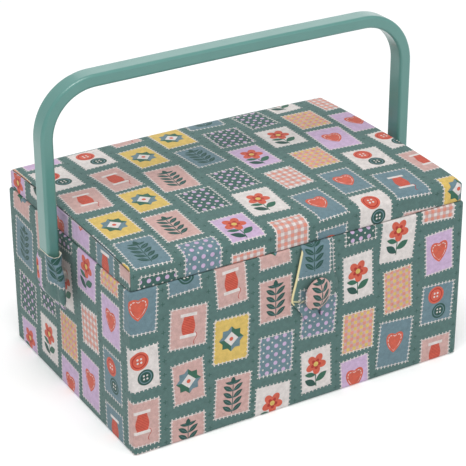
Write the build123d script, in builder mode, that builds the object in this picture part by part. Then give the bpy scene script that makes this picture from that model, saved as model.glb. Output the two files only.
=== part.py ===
"""Fabric-covered sewing box with a padded hinged lid, a swinging bail handle, a button
and loop closure and a lift-out compartment tray.

Frame: +X to the right as seen from the front, -Y is the front, +Z up, origin on the
surface that the box stands on, in the middle of the box. Millimetres.
"""

import os
from math import asin, cos, pi, radians, sin, sqrt

from build123d import *

os.makedirs("parts", exist_ok=True)

# Overall size, over the cloth
box_width = 320.0
box_depth = 226.0
body_height = 148.5
lid_side_height = 18.2
lid_inset = 1.7
lid_gap = 0.5

# Layers
cloth = 0.6
wadding = 1.4
wall_board = 3.0
liner = 1.2
glue_line = 0.05
base_board_thickness = 3.0
base_cloth_inset = 3.0
turn_under = 18.0
turn_in = 16.0
foot_round = 1.4
board_corner = 2.9
rim_round = cloth + wadding
body_corner = board_corner + cloth + wadding

# Lid
lid_rim_board = 4.0
lid_top_board = 3.0
lid_board_corner = 3.8
pad_edge = 3.0
crown_across = 1.6
crown_deep = 3.2
shoulder_round = 3.6
lid_foot_round = 0.5
lid_turn_in = 9.6
lid_liner = 1.8
lid_liner_round = 0.8

# Floor and tray
floor_pad_thickness = 3.8
floor_pad_round = 1.6
floor_pad_corner = 2.0
fit_gap = 0.4
tray_rim_below_edge = 13.5
tray_flange = 2.0
tray_flange_reach = 6.0
tray_depth = 45.0
tray_wall = 1.8
tray_draft = 2.0
tray_side_gap = 1.2
tray_corner = 9.0
tray_rim_round = 0.8
cell_corner = 6.0
cell_floor_round = 2.5
trough_depth = 62.0
tall_cell_width = 104.0
finger_notch = 13.0
lip_drop = 4.0
ledge_thickness = 4.0
ledge_washer_gap = 2.0
ledge_length = 170.0
ledge_round = 1.0

# Bail handle
handle_width = 17.5
handle_thickness = 11.0
handle_round = 2.5
handle_reach = 174.2
handle_bend = 50.0
bar_rise = 0.6
handle_y = 4.2
pivot_drop = 36.5

# Pivot rivets
rivet_radius = 2.4
rivet_head_radius = 5.0
rivet_head = 1.5
rivet_seat = 2.0
rivet_clearance = 0.05
rivet_round = 0.6
rivet_tail_radius = 3.8
rivet_tail = 1.6
spacer_radius = 6.0
spacer_length = 5.95
washer_radius = 7.0
washer = 1.0

# Fabric pockets on the handle ends
tab_above_pivot = 27.5
tab_below_pivot = 15.5
tab_side_wall = 1.6
tab_face_wall = 1.0
tab_foot_wall = 0.1
tab_waist_drop = 9.0
tab_waist_flare = 7.2
tab_foot_flare = 11.5
tab_foot_round = 1.2
tab_flat = 1.1
tab_clearance = 0.15
tab_spacer_gap = 0.25

# Button and loop
closure_x = 8.0
button_drop = 43.5
button_radius = 14.5
button_dome = 5.2
button_edge = 2.4
button_edge_round = 0.8
button_shell_wall = 0.9
button_rim_width = 2.4
button_rim_round = 0.9
button_plate = 1.0
button_boss_radius = 3.2
button_boss = 2.0
button_stand = 6.0
button_turn = 12.0
thread_radius = 1.5
thread_clearance = 0.1
thread_grip = 1.2
knot_radius = 3.0
knot_rise = 1.2
knot_round = 0.8
loop_thickness = 1.8
loop_stand = 0.4
loop_root = 0.25
loop_root_gap = 0.05
loop_bend_drop = 2.5
loop_band = 29.0
loop_band_shift = 2.3
loop_spread = 45.0
loop_shoulder_rise = 5.0
loop_corner_drop = 7.0
loop_tip_drop = 28.5
loop_tip_shift = -3.0
loop_tip_half = 5.0
loop_slit_rise = 27.0
loop_slit_drop = 13.0
loop_slit_half = 8.5
loop_corner_round = 3.0

# Hinge cloth
strip_end_gap = 10.0
strip_thickness = 0.7
strip_down = 22.0
strip_up = 14.0

# Pocket and pincushion inside the lid
cushion_side_gap = 17.7
cushion_width = 104.0
cushion_depth = 72.0
cushion_rise = 8.6
cushion_belly_drop = 3.0
cushion_shoulder_drop = 6.45
cushion_corner = 10.0
cushion_seam_inset = 3.5
cushion_shoulder_inset = 4.0
cushion_crown_inset = 15.0
cushion_pocket_gap = 38.0
pocket_side_gap = 15.7
pocket_depth = 124.0
pocket_skin = 1.0
pocket_pleats = 9
pocket_pleat_rise = 2.0
pocket_hollow = 1.4
elastic_width = 8.0
elastic_thickness = 1.6
elastic_corner = 1.5
elastic_tack = 2.5
elastic_tack_in = 0.75

# How far a cut or a stock block runs past what it trims
overrun = 1.0

# Sizes worked out from the ones above
half_width = box_width / 2
half_depth = box_depth / 2
board_in = cloth + wadding
inner_in = board_in + wall_board
liner_in = inner_in + cloth + glue_line
clear_in = liner_in + liner
base_cloth_top = cloth
body_bottom = 2 * cloth
base_board_top = body_bottom + base_board_thickness
board_top = body_height - cloth
clear_half_width = half_width - clear_in
clear_half_depth = half_depth - clear_in

lid_bottom = body_height + lid_gap
lid_width = box_width - 2 * lid_inset
lid_depth = box_depth - 2 * lid_inset
lid_corner = lid_board_corner + cloth
lid_edge_top = lid_bottom + lid_side_height
lid_board_bottom = lid_bottom + cloth
lid_top_board_top = lid_edge_top - pad_edge
lid_top_board_bottom = lid_top_board_top - lid_top_board
lid_board_half_width = lid_width / 2 - cloth
lid_board_half_depth = lid_depth / 2 - cloth
lid_inner_half_width = lid_board_half_width - lid_rim_board
lid_inner_half_depth = lid_board_half_depth - lid_rim_board
lid_crown_top = lid_edge_top + crown_across + crown_deep
lid_lining_bottom = lid_top_board_bottom - lid_liner

tab_mouth_width = handle_width + 2 * tab_side_wall
tab_mouth_thickness = handle_thickness + 2 * tab_face_wall
tab_back_x = half_width + spacer_length + tab_spacer_gap
leg_x = tab_back_x + tab_mouth_thickness / 2
leg_out = leg_x + handle_thickness / 2
pivot_z = body_height - pivot_drop
tab_top = pivot_z + tab_above_pivot
tab_bottom = pivot_z - tab_below_pivot
handle_top = pivot_z + handle_reach

button_z = body_height - button_drop
strip_width = box_width - 2 * strip_end_gap

cushion_x = -lid_inner_half_width + cushion_side_gap + cushion_width / 2
pocket_left = cushion_x + cushion_width / 2 + cushion_pocket_gap
pocket_width = lid_inner_half_width - pocket_side_gap - pocket_left
pocket_x = pocket_left + pocket_width / 2


def write(piece, name):
    """Label a finished piece and write it as one STEP file."""
    piece.part.label = name
    export_step(piece.part, f"parts/{name}.step")


def body_block(inset, bottom, top, corner):
    """The body's outline, drawn in by inset all round, from bottom to top."""
    with BuildPart() as block:
        with BuildSketch(Plane.XY.offset(bottom)):
            RectangleRounded(box_width - 2 * inset, box_depth - 2 * inset, corner)
        extrude(amount=top - bottom)
    return block


def side_bore(radius, side):
    """A round bore along X through one short side, on the handle's pivot."""
    with BuildPart() as bore:
        with BuildSketch(Plane.YZ.offset(side * leg_x)):
            with Locations((handle_y, pivot_z)):
                Circle(radius)
        extrude(amount=-side * (leg_x - clear_half_width + tray_side_gap))
    return bore.part


def front_bore(radius):
    """A round bore along Y through the front wall, for the button's thread."""
    with BuildPart() as bore:
        with BuildSketch(Plane.XZ.offset(half_depth + overrun)):
            with Locations((closure_x, button_z)):
                Circle(radius)
        extrude(amount=-(clear_in + 2 * overrun))
    return bore.part


rivet_hole = rivet_radius + rivet_clearance
thread_hole = thread_radius + thread_clearance

# Base: a card floor, with a plain cloth panel glued under it
with BuildPart() as base_cloth:
    with BuildSketch():
        RectangleRounded(
            box_width - 2 * base_cloth_inset,
            box_depth - 2 * base_cloth_inset,
            body_corner,
        )
    extrude(amount=base_cloth_top)
write(base_cloth, "base_cloth")

with BuildPart() as base_board:
    with BuildSketch(Plane.XY.offset(body_bottom)):
        Rectangle(box_width - 2 * inner_in, box_depth - 2 * inner_in)
    extrude(amount=base_board_thickness)
write(base_board, "base_board")

# Walls: the long boards run the full width, and the short ones stand between them
for name, side in (("front_board", -1), ("back_board", 1)):
    with BuildPart() as long_board:
        with BuildSketch(Plane.XY.offset(body_bottom)):
            with Locations((0, side * (half_depth - board_in - wall_board / 2))):
                Rectangle(box_width - 2 * board_in, wall_board)
        extrude(amount=board_top - body_bottom)
        outer = long_board.faces().sort_by(Axis.Y)[-1 if side > 0 else 0]
        fillet(outer.edges().filter_by(Axis.Z), board_corner)
        if side < 0:
            add(front_bore(thread_hole), mode=Mode.SUBTRACT)
    write(long_board, name)

for name, side in (("left_board", -1), ("right_board", 1)):
    with BuildPart() as short_board:
        with BuildSketch(Plane.XY.offset(body_bottom)):
            with Locations((side * (half_width - board_in - wall_board / 2), 0)):
                Rectangle(wall_board, box_depth - 2 * inner_in)
        extrude(amount=board_top - body_bottom)
        add(side_bore(rivet_hole, side), mode=Mode.SUBTRACT)
    write(short_board, name)

# Wadding round the outside of the walls, rounded over at the rim
with BuildPart() as wall_wadding:
    add(body_block(cloth, body_bottom, board_top, body_corner - cloth).part)
    fillet(wall_wadding.edges().group_by(Axis.Z)[-1], wadding)
    fillet(wall_wadding.edges().group_by(Axis.Z)[0], foot_round - cloth)
    add(
        body_block(
            board_in, body_bottom - overrun, board_top + overrun, board_corner
        ).part,
        mode=Mode.SUBTRACT,
    )
    for side in (-1, 1):
        add(side_bore(rivet_hole, side), mode=Mode.SUBTRACT)
    add(front_bore(thread_hole), mode=Mode.SUBTRACT)
write(wall_wadding, "wall_wadding")

# Printed cover: round the walls, turned under the base and in over the rim
with BuildPart() as cover_core:
    add(body_block(cloth, body_bottom, board_top, body_corner - cloth).part)
    fillet(cover_core.edges().group_by(Axis.Z)[-1], wadding)
    fillet(cover_core.edges().group_by(Axis.Z)[0], foot_round - cloth)

with BuildPart() as outer_cover:
    add(body_block(0, base_cloth_top, body_height, body_corner).part)
    fillet(outer_cover.edges().group_by(Axis.Z)[-1], rim_round)
    fillet(outer_cover.edges().group_by(Axis.Z)[0], foot_round)
    add(cover_core.part, mode=Mode.SUBTRACT)
    with BuildSketch(Plane.XY):
        Rectangle(box_width - 2 * turn_under, box_depth - 2 * turn_under)
    extrude(amount=body_bottom + overrun, mode=Mode.SUBTRACT)
    with BuildSketch(Plane.XY.offset(body_height - turn_in)):
        Rectangle(box_width - 2 * inner_in, box_depth - 2 * inner_in)
    extrude(amount=turn_in - cloth / 2)
    with BuildSketch(Plane.XY.offset(body_height - turn_in - overrun)):
        Rectangle(
            box_width - 2 * (inner_in + cloth),
            box_depth - 2 * (inner_in + cloth),
        )
    extrude(amount=turn_in + 2 * overrun, mode=Mode.SUBTRACT)
    for side in (-1, 1):
        add(side_bore(rivet_hole, side), mode=Mode.SUBTRACT)
    add(front_bore(thread_hole), mode=Mode.SUBTRACT)
write(outer_cover, "outer_cover")

# Lining card inside the walls, and a padded floor
with BuildPart() as wall_lining:
    with BuildSketch(Plane.XY.offset(base_board_top)):
        Rectangle(box_width - 2 * liner_in, box_depth - 2 * liner_in)
        Rectangle(
            box_width - 2 * clear_in, box_depth - 2 * clear_in, mode=Mode.SUBTRACT
        )
    extrude(amount=body_height - lip_drop - base_board_top)
    for side in (-1, 1):
        add(side_bore(rivet_hole, side), mode=Mode.SUBTRACT)
    add(front_bore(thread_hole), mode=Mode.SUBTRACT)
write(wall_lining, "wall_lining")

with BuildPart() as floor_pad:
    with BuildSketch(Plane.XY.offset(base_board_top)):
        RectangleRounded(
            2 * (clear_half_width - fit_gap),
            2 * (clear_half_depth - fit_gap),
            floor_pad_corner,
        )
    extrude(amount=floor_pad_thickness)
    fillet(floor_pad.edges().group_by(Axis.Z)[-1], floor_pad_round)
write(floor_pad, "floor_pad")

# Ledges on the short walls, which the tray's rim rests on
tray_rim_top = body_height - tray_rim_below_edge
tray_seat = tray_rim_top - tray_flange
ledge_bottom = pivot_z + washer_radius + ledge_washer_gap
with BuildPart() as tray_ledges:
    with BuildSketch(Plane.XY.offset(ledge_bottom)):
        for side in (-1, 1):
            with Locations((side * (clear_half_width - ledge_thickness / 2), 0)):
                Rectangle(ledge_thickness, ledge_length)
    extrude(amount=tray_seat - ledge_bottom)
    fillet(tray_ledges.edges().filter_by(Axis.Z), ledge_round)
write(tray_ledges, "tray_ledges")

# Moulded tray: a drafted pan with a flange, cut into cells
flange_half_width = clear_half_width - tray_side_gap
flange_half_depth = clear_half_depth - tray_side_gap
pan_half_width = flange_half_width - tray_flange_reach
pan_half_depth = flange_half_depth - tray_flange_reach
cell_left = -pan_half_width + tray_wall
cell_right = pan_half_width - tray_wall
cell_front = -pan_half_depth + tray_wall
cell_back = pan_half_depth - tray_wall
row_front = cell_front + trough_depth + tray_wall
row_middle = (row_front + cell_back) / 2
column_1 = cell_left + tall_cell_width
column_2 = (column_1 + cell_right) / 2
cells = [
    (cell_left, cell_right, cell_front, cell_front + trough_depth),
    (cell_left, column_1, row_front, cell_back),
]
for x_low, x_high in (
    (column_1 + tray_wall, column_2 - tray_wall / 2),
    (column_2 + tray_wall / 2, cell_right),
):
    cells.append((x_low, x_high, row_front, row_middle - tray_wall / 2))
    cells.append((x_low, x_high, row_middle + tray_wall / 2, cell_back))

with BuildPart() as tray:
    with BuildSketch(Plane.XY.offset(tray_rim_top)):
        RectangleRounded(
            2 * pan_half_width, 2 * pan_half_depth, cell_corner + tray_wall
        )
    extrude(amount=-tray_depth, taper=tray_draft)
    fillet(tray.edges().group_by(Axis.Z)[0], cell_floor_round + tray_wall)
    with BuildSketch(Plane.XY.offset(tray_seat)):
        RectangleRounded(2 * flange_half_width, 2 * flange_half_depth, tray_corner)
    extrude(amount=tray_flange)
    fillet(tray.edges().group_by(Axis.Z)[-1], tray_rim_round)
    for x_low, x_high, y_low, y_high in cells:
        with BuildPart(mode=Mode.PRIVATE) as cell:
            with BuildSketch(Plane.XY.offset(tray_rim_top + overrun)):
                with Locations(((x_low + x_high) / 2, (y_low + y_high) / 2)):
                    RectangleRounded(x_high - x_low, y_high - y_low, cell_corner)
            extrude(amount=-(tray_depth - tray_wall + overrun), taper=tray_draft)
            fillet(cell.edges().group_by(Axis.Z)[0], cell_floor_round)
        add(cell.part, mode=Mode.SUBTRACT)
    with BuildSketch(Plane.YZ.offset(-flange_half_width - overrun)):
        with Locations((0, tray_rim_top)):
            Circle(finger_notch)
    extrude(amount=2 * (flange_half_width + overrun), mode=Mode.SUBTRACT)
write(tray, "tray")

# Bail handle: one moulded strap, its bar a little arched
bend = handle_bend - handle_thickness / 2
bar_half = leg_x - bend
arch_radius = (bar_half**2 + bar_rise**2) / (2 * bar_rise)
bar_centre_z = handle_top - handle_thickness / 2


def bail_path():
    """Leg, bend, arched bar, bend and leg, tangent to each other, up from the pivots."""
    centre_x = leg_x - bend
    arch_bottom = bar_centre_z - arch_radius
    reach = arch_radius - bend
    centre_z = arch_bottom + sqrt(reach**2 - centre_x**2)
    join_tilt = asin(centre_x / reach)
    join = (
        centre_x + bend * sin(join_tilt),
        centre_z + bend * cos(join_tilt),
    )
    half = (join_tilt + pi / 2) / 2
    middle = (centre_x + bend * sin(half), centre_z + bend * cos(half))
    with BuildLine(Plane.XZ.offset(-handle_y)) as path:
        Line((-leg_x, pivot_z), (-leg_x, centre_z))
        ThreePointArc(
            (-leg_x, centre_z), (-middle[0], middle[1]), (-join[0], join[1])
        )
        ThreePointArc((-join[0], join[1]), (0, bar_centre_z), join)
        ThreePointArc(join, middle, (leg_x, centre_z))
        Line((leg_x, centre_z), (leg_x, pivot_z))
    return path


def leg_end(side, grow):
    """The lower end of one leg, made larger by grow all round, with its round end."""
    width = handle_width + 2 * grow
    thickness = handle_thickness + 2 * grow
    edge = handle_round + grow
    with BuildPart() as end:
        with BuildSketch(Plane.XY.offset(pivot_z)):
            with Locations((side * leg_x, handle_y)):
                RectangleRounded(thickness, width, edge)
        extrude(amount=tab_above_pivot + overrun)
        with BuildSketch(Plane.XY.offset(pivot_z)):
            with Locations((side * leg_x, handle_y)):
                RectangleRounded(thickness, width, edge)
            with Locations((side * leg_x, handle_y - width)):
                Rectangle(4 * thickness, 2 * width, mode=Mode.SUBTRACT)
        revolve(axis=Axis((0, handle_y, pivot_z), (1, 0, 0)))
    return end.part


with BuildPart() as handle:
    bail = bail_path()
    with BuildSketch(Plane.XY.offset(pivot_z)):
        with Locations((-leg_x, handle_y)):
            RectangleRounded(handle_thickness, handle_width, handle_round)
    sweep(path=bail.line)
    for side in (-1, 1):
        add(leg_end(side, 0))
        add(side_bore(rivet_hole, side), mode=Mode.SUBTRACT)
        with BuildSketch(Plane.YZ.offset(side * leg_out)):
            with Locations((handle_y, pivot_z)):
                Circle(rivet_hole)
        extrude(amount=-side * handle_thickness, mode=Mode.SUBTRACT)
        with BuildSketch(Plane.YZ.offset(side * leg_out)):
            with Locations((handle_y, pivot_z)):
                Circle(rivet_head_radius + rivet_clearance)
        extrude(amount=-side * rivet_seat, mode=Mode.SUBTRACT)
write(handle, "handle")

# Fabric pockets over the handle's ends, which turn with it on the rivets
for name, side in (("left_tab", -1), ("right_tab", 1)):
    with BuildPart() as tab:
        for height, width, thickness in (
            (tab_top, tab_mouth_width, tab_mouth_thickness),
            (
                tab_top - tab_waist_drop,
                tab_mouth_width + 2 * tab_waist_flare,
                tab_mouth_thickness,
            ),
            (pivot_z, tab_mouth_width + 2 * tab_foot_flare, tab_mouth_thickness),
            (
                tab_bottom,
                tab_mouth_width + 2 * tab_foot_flare,
                handle_thickness + 2 * tab_foot_wall,
            ),
        ):
            with BuildSketch(Plane.XY.offset(height)):
                with Locations((side * leg_x, handle_y)):
                    RectangleRounded(thickness, width, thickness / 2 - tab_flat / 2)
        loft()
        fillet(tab.edges().group_by(Axis.Z)[0], tab_foot_round)
        add(leg_end(side, tab_clearance), mode=Mode.SUBTRACT)
        add(side_bore(rivet_hole + tab_clearance, side), mode=Mode.SUBTRACT)
    write(tab, name)

# Rivets, with a spacer between pocket and wall and a washer inside the wall
with BuildPart() as pivot_rivets:
    for side in (-1, 1):
        head_x = leg_out - rivet_seat
        tail_x = clear_half_width - washer
        for start, end, radius in (
            (head_x, head_x + rivet_head, rivet_head_radius),
            (tail_x, head_x, rivet_radius),
            (tail_x - rivet_tail, tail_x, rivet_tail_radius),
        ):
            with BuildSketch(Plane.YZ.offset(side * start)):
                with Locations((handle_y, pivot_z)):
                    Circle(radius)
            extrude(amount=side * (end - start))
    for end_face in (0, -1):
        head_face = pivot_rivets.faces().filter_by(Axis.X).sort_by(Axis.X)[end_face]
        fillet(head_face.edges(), rivet_round)
write(pivot_rivets, "pivot_rivets")

for name, radius, start, end in (
    ("pivot_spacers", spacer_radius, half_width, tab_back_x - tab_spacer_gap),
    ("pivot_washers", washer_radius, clear_half_width - washer, clear_half_width),
):
    with BuildPart() as ring:
        for side in (-1, 1):
            with BuildSketch(Plane.YZ.offset(side * start)):
                with Locations((handle_y, pivot_z)):
                    Circle(radius)
                    Circle(rivet_hole, mode=Mode.SUBTRACT)
            extrude(amount=side * (end - start))
    write(ring, name)


def lid_block(inset, bottom):
    """The lid's padded form, drawn in by inset, with its top crowned both ways."""
    width = lid_width - 2 * inset
    depth = lid_depth - 2 * inset
    top = lid_crown_top - inset
    deep_radius = (lid_depth / 2) ** 2 / (2 * crown_deep)
    across = lid_width / 2
    with BuildPart() as block:
        with BuildSketch(Plane.XY.offset(bottom)):
            RectangleRounded(width, depth, lid_corner - inset)
        extrude(amount=lid_crown_top + overrun - bottom)
        with BuildSketch(Plane.XZ):
            with BuildLine():
                ThreePointArc(
                    (-across, top - crown_across), (0, top), (across, top - crown_across)
                )
                Polyline(
                    (across, top - crown_across),
                    (across, bottom - lid_side_height),
                    (-across, bottom - lid_side_height),
                    (-across, top - crown_across),
                )
            make_face()
        revolve(
            axis=Axis((0, 0, top - deep_radius), (1, 0, 0)), mode=Mode.INTERSECT
        )
        top_edges = block.edges().filter_by(
            lambda edge: edge.center().Z > top - crown_across - crown_deep - overrun
            and edge.bounding_box().size.Z < crown_across + crown_deep
        )
        fillet(top_edges, shoulder_round - inset)
    return block


# Lid: a rim of four boards under a top board
for name, side in (("lid_front_rim", -1), ("lid_back_rim", 1)):
    with BuildPart() as long_rim:
        with BuildSketch(Plane.XY.offset(lid_board_bottom)):
            with Locations((0, side * (lid_board_half_depth - lid_rim_board / 2))):
                Rectangle(2 * lid_board_half_width, lid_rim_board)
        extrude(amount=lid_top_board_bottom - lid_board_bottom)
        outer = long_rim.faces().sort_by(Axis.Y)[-1 if side > 0 else 0]
        fillet(outer.edges().filter_by(Axis.Z), lid_board_corner)
    write(long_rim, name)

for name, side in (("lid_left_rim", -1), ("lid_right_rim", 1)):
    with BuildPart() as short_rim:
        with BuildSketch(Plane.XY.offset(lid_board_bottom)):
            with Locations((side * (lid_board_half_width - lid_rim_board / 2), 0)):
                Rectangle(lid_rim_board, 2 * lid_inner_half_depth)
        extrude(amount=lid_top_board_bottom - lid_board_bottom)
    write(short_rim, name)

with BuildPart() as lid_board:
    with BuildSketch(Plane.XY.offset(lid_top_board_bottom)):
        RectangleRounded(
            2 * lid_board_half_width, 2 * lid_board_half_depth, lid_board_corner
        )
    extrude(amount=lid_top_board)
write(lid_board, "lid_board")

with BuildPart() as lid_foam:
    add(lid_block(cloth, lid_top_board_top).part)
write(lid_foam, "lid_foam")

# Printed lid cover: over the foam, down the rim, under it and up inside
with BuildPart() as lid_cover:
    add(lid_block(0, lid_bottom).part)
    fillet(lid_cover.edges().group_by(Axis.Z)[0], lid_foot_round)
    add(lid_block(cloth, lid_board_bottom).part, mode=Mode.SUBTRACT)
    with BuildSketch(Plane.XY.offset(lid_bottom + cloth / 2)):
        Rectangle(2 * lid_inner_half_width, 2 * lid_inner_half_depth)
    extrude(amount=lid_turn_in - cloth / 2)
    with BuildSketch(Plane.XY.offset(lid_bottom - overrun)):
        Rectangle(
            2 * (lid_inner_half_width - cloth), 2 * (lid_inner_half_depth - cloth)
        )
    extrude(amount=lid_turn_in + 2 * overrun, mode=Mode.SUBTRACT)
write(lid_cover, "lid_cover")

with BuildPart() as lid_lining:
    with BuildSketch(Plane.XY.offset(lid_lining_bottom)):
        Rectangle(
            2 * (lid_inner_half_width - fit_gap), 2 * (lid_inner_half_depth - fit_gap)
        )
    extrude(amount=lid_liner)
    fillet(lid_lining.edges().group_by(Axis.Z)[0], lid_liner_round)
write(lid_lining, "lid_lining")

# Pincushion on the lid's lining: crowned downwards, drawn in where it is sewn on
with BuildPart() as pincushion:
    for drop, inset in (
        (0, cushion_seam_inset),
        (cushion_belly_drop, 0),
        (cushion_shoulder_drop, cushion_shoulder_inset),
        (cushion_rise, cushion_crown_inset),
    ):
        with BuildSketch(Plane.XY.offset(lid_lining_bottom - drop)):
            with Locations((cushion_x, 0)):
                RectangleRounded(
                    cushion_width - 2 * inset,
                    cushion_depth - 2 * inset,
                    cushion_corner,
                )
    loft()
write(pincushion, "pincushion")

# Gathered pocket beside it, pleated from the elastic at its mouth
pleat = pocket_width / pocket_pleats
pocket_low = lid_lining_bottom - pocket_hollow - pocket_skin
with BuildPart() as lid_pocket:
    with BuildSketch(Plane.XZ.offset(pocket_depth / 2 - elastic_width)):
        with BuildLine():
            Polyline(
                (pocket_left, pocket_low),
                (pocket_left, lid_lining_bottom),
                (pocket_left + pocket_width, lid_lining_bottom),
                (pocket_left + pocket_width, pocket_low),
            )
            for index in range(pocket_pleats):
                start = pocket_left + index * pleat
                ThreePointArc(
                    (start, pocket_low),
                    (start + pleat / 2, pocket_low - pocket_pleat_rise),
                    (start + pleat, pocket_low),
                )
        make_face()
    extrude(amount=-(pocket_depth - elastic_width))
    with BuildSketch(Plane.XZ.offset(pocket_depth / 2)):
        with Locations((pocket_x, lid_lining_bottom - pocket_hollow / 2)):
            Rectangle(pocket_width - 2 * pocket_skin, pocket_hollow)
    extrude(amount=-(pocket_depth - 2 * pocket_skin), mode=Mode.SUBTRACT)
write(lid_pocket, "lid_pocket")

with BuildPart() as pocket_elastic:
    with BuildSketch(
        Plane.XY.offset(lid_lining_bottom - pocket_hollow - elastic_thickness)
    ):
        with Locations((pocket_x, -pocket_depth / 2 + elastic_width / 2)):
            RectangleRounded(pocket_width, elastic_width, elastic_corner)
    extrude(amount=elastic_thickness)
    tack_x = pocket_width / 2 - elastic_tack_in - elastic_tack / 2
    for side in (-1, 1):
        with BuildSketch(Plane.XY.offset(lid_lining_bottom - pocket_hollow)):
            with Locations(
                (pocket_x + side * tack_x, -pocket_depth / 2 + elastic_width / 2)
            ):
                Rectangle(elastic_tack, elastic_width - 2 * elastic_corner)
        extrude(amount=pocket_hollow)
write(pocket_elastic, "pocket_elastic")

# Hinge: a cloth strip glued over the joint at the back
lid_back = lid_depth / 2
with BuildPart() as hinge_strip:
    with BuildSketch(Plane.YZ.offset(-strip_width / 2)):
        Polygon(
            (half_depth, body_height - strip_down),
            (half_depth + strip_thickness, body_height - strip_down),
            (half_depth + strip_thickness, body_height - rim_round),
            (half_depth + strip_thickness, lid_bottom + lid_foot_round),
            (lid_back + strip_thickness, lid_bottom + lid_foot_round + lid_inset),
            (lid_back + strip_thickness, lid_bottom + strip_up),
            (lid_back, lid_bottom + strip_up),
            (lid_back, lid_bottom + lid_foot_round + lid_inset - strip_thickness),
            (half_depth, lid_bottom + lid_foot_round - strip_thickness),
            align=None,
        )
    extrude(amount=strip_width)
write(hinge_strip, "hinge_strip")

# Button: a covered dome on a plate with a boss, turned a little by the loop behind it
turn = radians(button_turn)
button_plane = Plane(
    origin=(closure_x, -half_depth - button_stand, button_z),
    x_dir=(cos(turn), sin(turn), 0),
    z_dir=(sin(turn), -cos(turn), 0),
)
dome_top = button_edge + button_dome
dome_radius = (button_radius**2 + button_dome**2) / (2 * button_dome)
dome_half = asin(button_radius / dome_radius) / 2
shell_inner = button_radius - button_rim_width
shell_radius = dome_radius - button_shell_wall
shell_half = asin(shell_inner / shell_radius) / 2
shell_top = dome_top - button_shell_wall
shell_shoulder = shell_top - shell_radius * (1 - cos(2 * shell_half))
with BuildPart() as button_shell:
    with BuildSketch(Plane(button_plane.origin, button_plane.x_dir, (0, 0, -1))):
        with BuildLine():
            Line((0, shell_top), (0, dome_top))
            ThreePointArc(
                (0, dome_top),
                (
                    dome_radius * sin(dome_half),
                    dome_top - dome_radius * (1 - cos(dome_half)),
                ),
                (button_radius, button_edge),
            )
            Polyline(
                (button_radius, button_edge),
                (button_radius, button_rim_round),
                (button_radius - button_rim_round, 0),
                (shell_inner, 0),
                (shell_inner, shell_shoulder),
            )
            ThreePointArc(
                (shell_inner, shell_shoulder),
                (
                    shell_radius * sin(shell_half),
                    shell_top - shell_radius * (1 - cos(shell_half)),
                ),
                (0, shell_top),
            )
        make_face()
    revolve(axis=Axis(button_plane.origin, button_plane.z_dir))
    edge_circle = button_shell.edges().filter_by(GeomType.CIRCLE).filter_by(
        lambda edge: abs(edge.radius - button_radius) < 0.01
    )
    fillet(edge_circle, button_edge_round)
write(button_shell, "button_shell")

with BuildPart() as button_back:
    with BuildSketch(button_plane):
        Circle(shell_inner - glue_line)
    extrude(amount=button_plate)
    with BuildSketch(button_plane):
        Circle(button_boss_radius)
    extrude(amount=-button_boss)
    with BuildSketch(Plane.XZ.offset(half_depth + button_stand - thread_grip)):
        with Locations((closure_x, button_z)):
            Circle(thread_hole)
    extrude(amount=-button_stand, mode=Mode.SUBTRACT)
write(button_back, "button_back")

thread_reach = button_stand - thread_grip - thread_clearance
with BuildPart() as button_thread:
    with BuildSketch(Plane.XZ.offset(half_depth + thread_reach)):
        with Locations((closure_x, button_z)):
            Circle(thread_radius)
    extrude(amount=-(thread_reach + clear_in))
    with BuildSketch(Plane.XZ.offset(clear_half_depth)):
        with Locations((closure_x, button_z)):
            Circle(knot_radius)
    extrude(amount=-knot_rise)
    fillet(button_thread.edges().group_by(Axis.Y)[-1], knot_round)
write(button_thread, "button_thread")

# Loop: a folded strap from under the lid's edge, parted round the button
loop_y = half_depth + loop_stand
loop_top = lid_bottom - loop_root_gap
loop_bend = loop_top - loop_bend_drop
loop_left = closure_x - loop_spread / 2
loop_right = closure_x + loop_spread / 2
band_left = closure_x + loop_band_shift - loop_band / 2
band_right = band_left + loop_band
shoulder_z = button_z + loop_shoulder_rise
corner_z = button_z - loop_corner_drop
tip_z = button_z - loop_tip_drop
tip_x = closure_x + loop_tip_shift
slit_top = button_z + loop_slit_rise
slit_bottom = button_z - loop_slit_drop
slit_middle = (slit_top + slit_bottom) / 2
lid_front = half_depth - lid_inset - lid_foot_round
with BuildPart() as closure_loop:
    with BuildSketch(Plane.XZ.offset(loop_y)):
        with BuildLine():
            FilletPolyline(
                (band_right, loop_bend),
                (loop_right, shoulder_z),
                (loop_right, corner_z),
                (tip_x + loop_tip_half, tip_z),
                (tip_x - loop_tip_half, tip_z),
                (loop_left, corner_z),
                (loop_left, shoulder_z),
                (band_left, loop_bend),
                radius=loop_corner_round,
            )
            Line((band_left, loop_bend), (band_right, loop_bend))
        make_face()
        with BuildLine():
            ThreePointArc(
                (closure_x, slit_top),
                (closure_x - loop_slit_half, slit_middle),
                (closure_x, slit_bottom),
            )
            ThreePointArc(
                (closure_x, slit_bottom),
                (closure_x + loop_slit_half, slit_middle),
                (closure_x, slit_top),
            )
        make_face(mode=Mode.SUBTRACT)
    extrude(amount=loop_thickness)
    with BuildSketch(Plane.YZ.offset(band_left)):
        Polygon(
            (-loop_y - loop_thickness, loop_bend - overrun),
            (-loop_y, loop_bend - overrun),
            (-loop_y, loop_bend + overrun / 2),
            (-half_depth + overrun / 2, loop_top - loop_root),
            (-lid_front, loop_top - loop_root),
            (-lid_front, loop_top),
            (-loop_y, loop_top),
            (-loop_y - loop_thickness, loop_top - loop_thickness),
            align=None,
        )
    extrude(amount=loop_band)
write(closure_loop, "closure_loop")
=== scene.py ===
from functools import partialmethod
from math import cos, pi, radians, sin

import bpy
import numpy as np
from mathutils import Matrix, Vector


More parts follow.
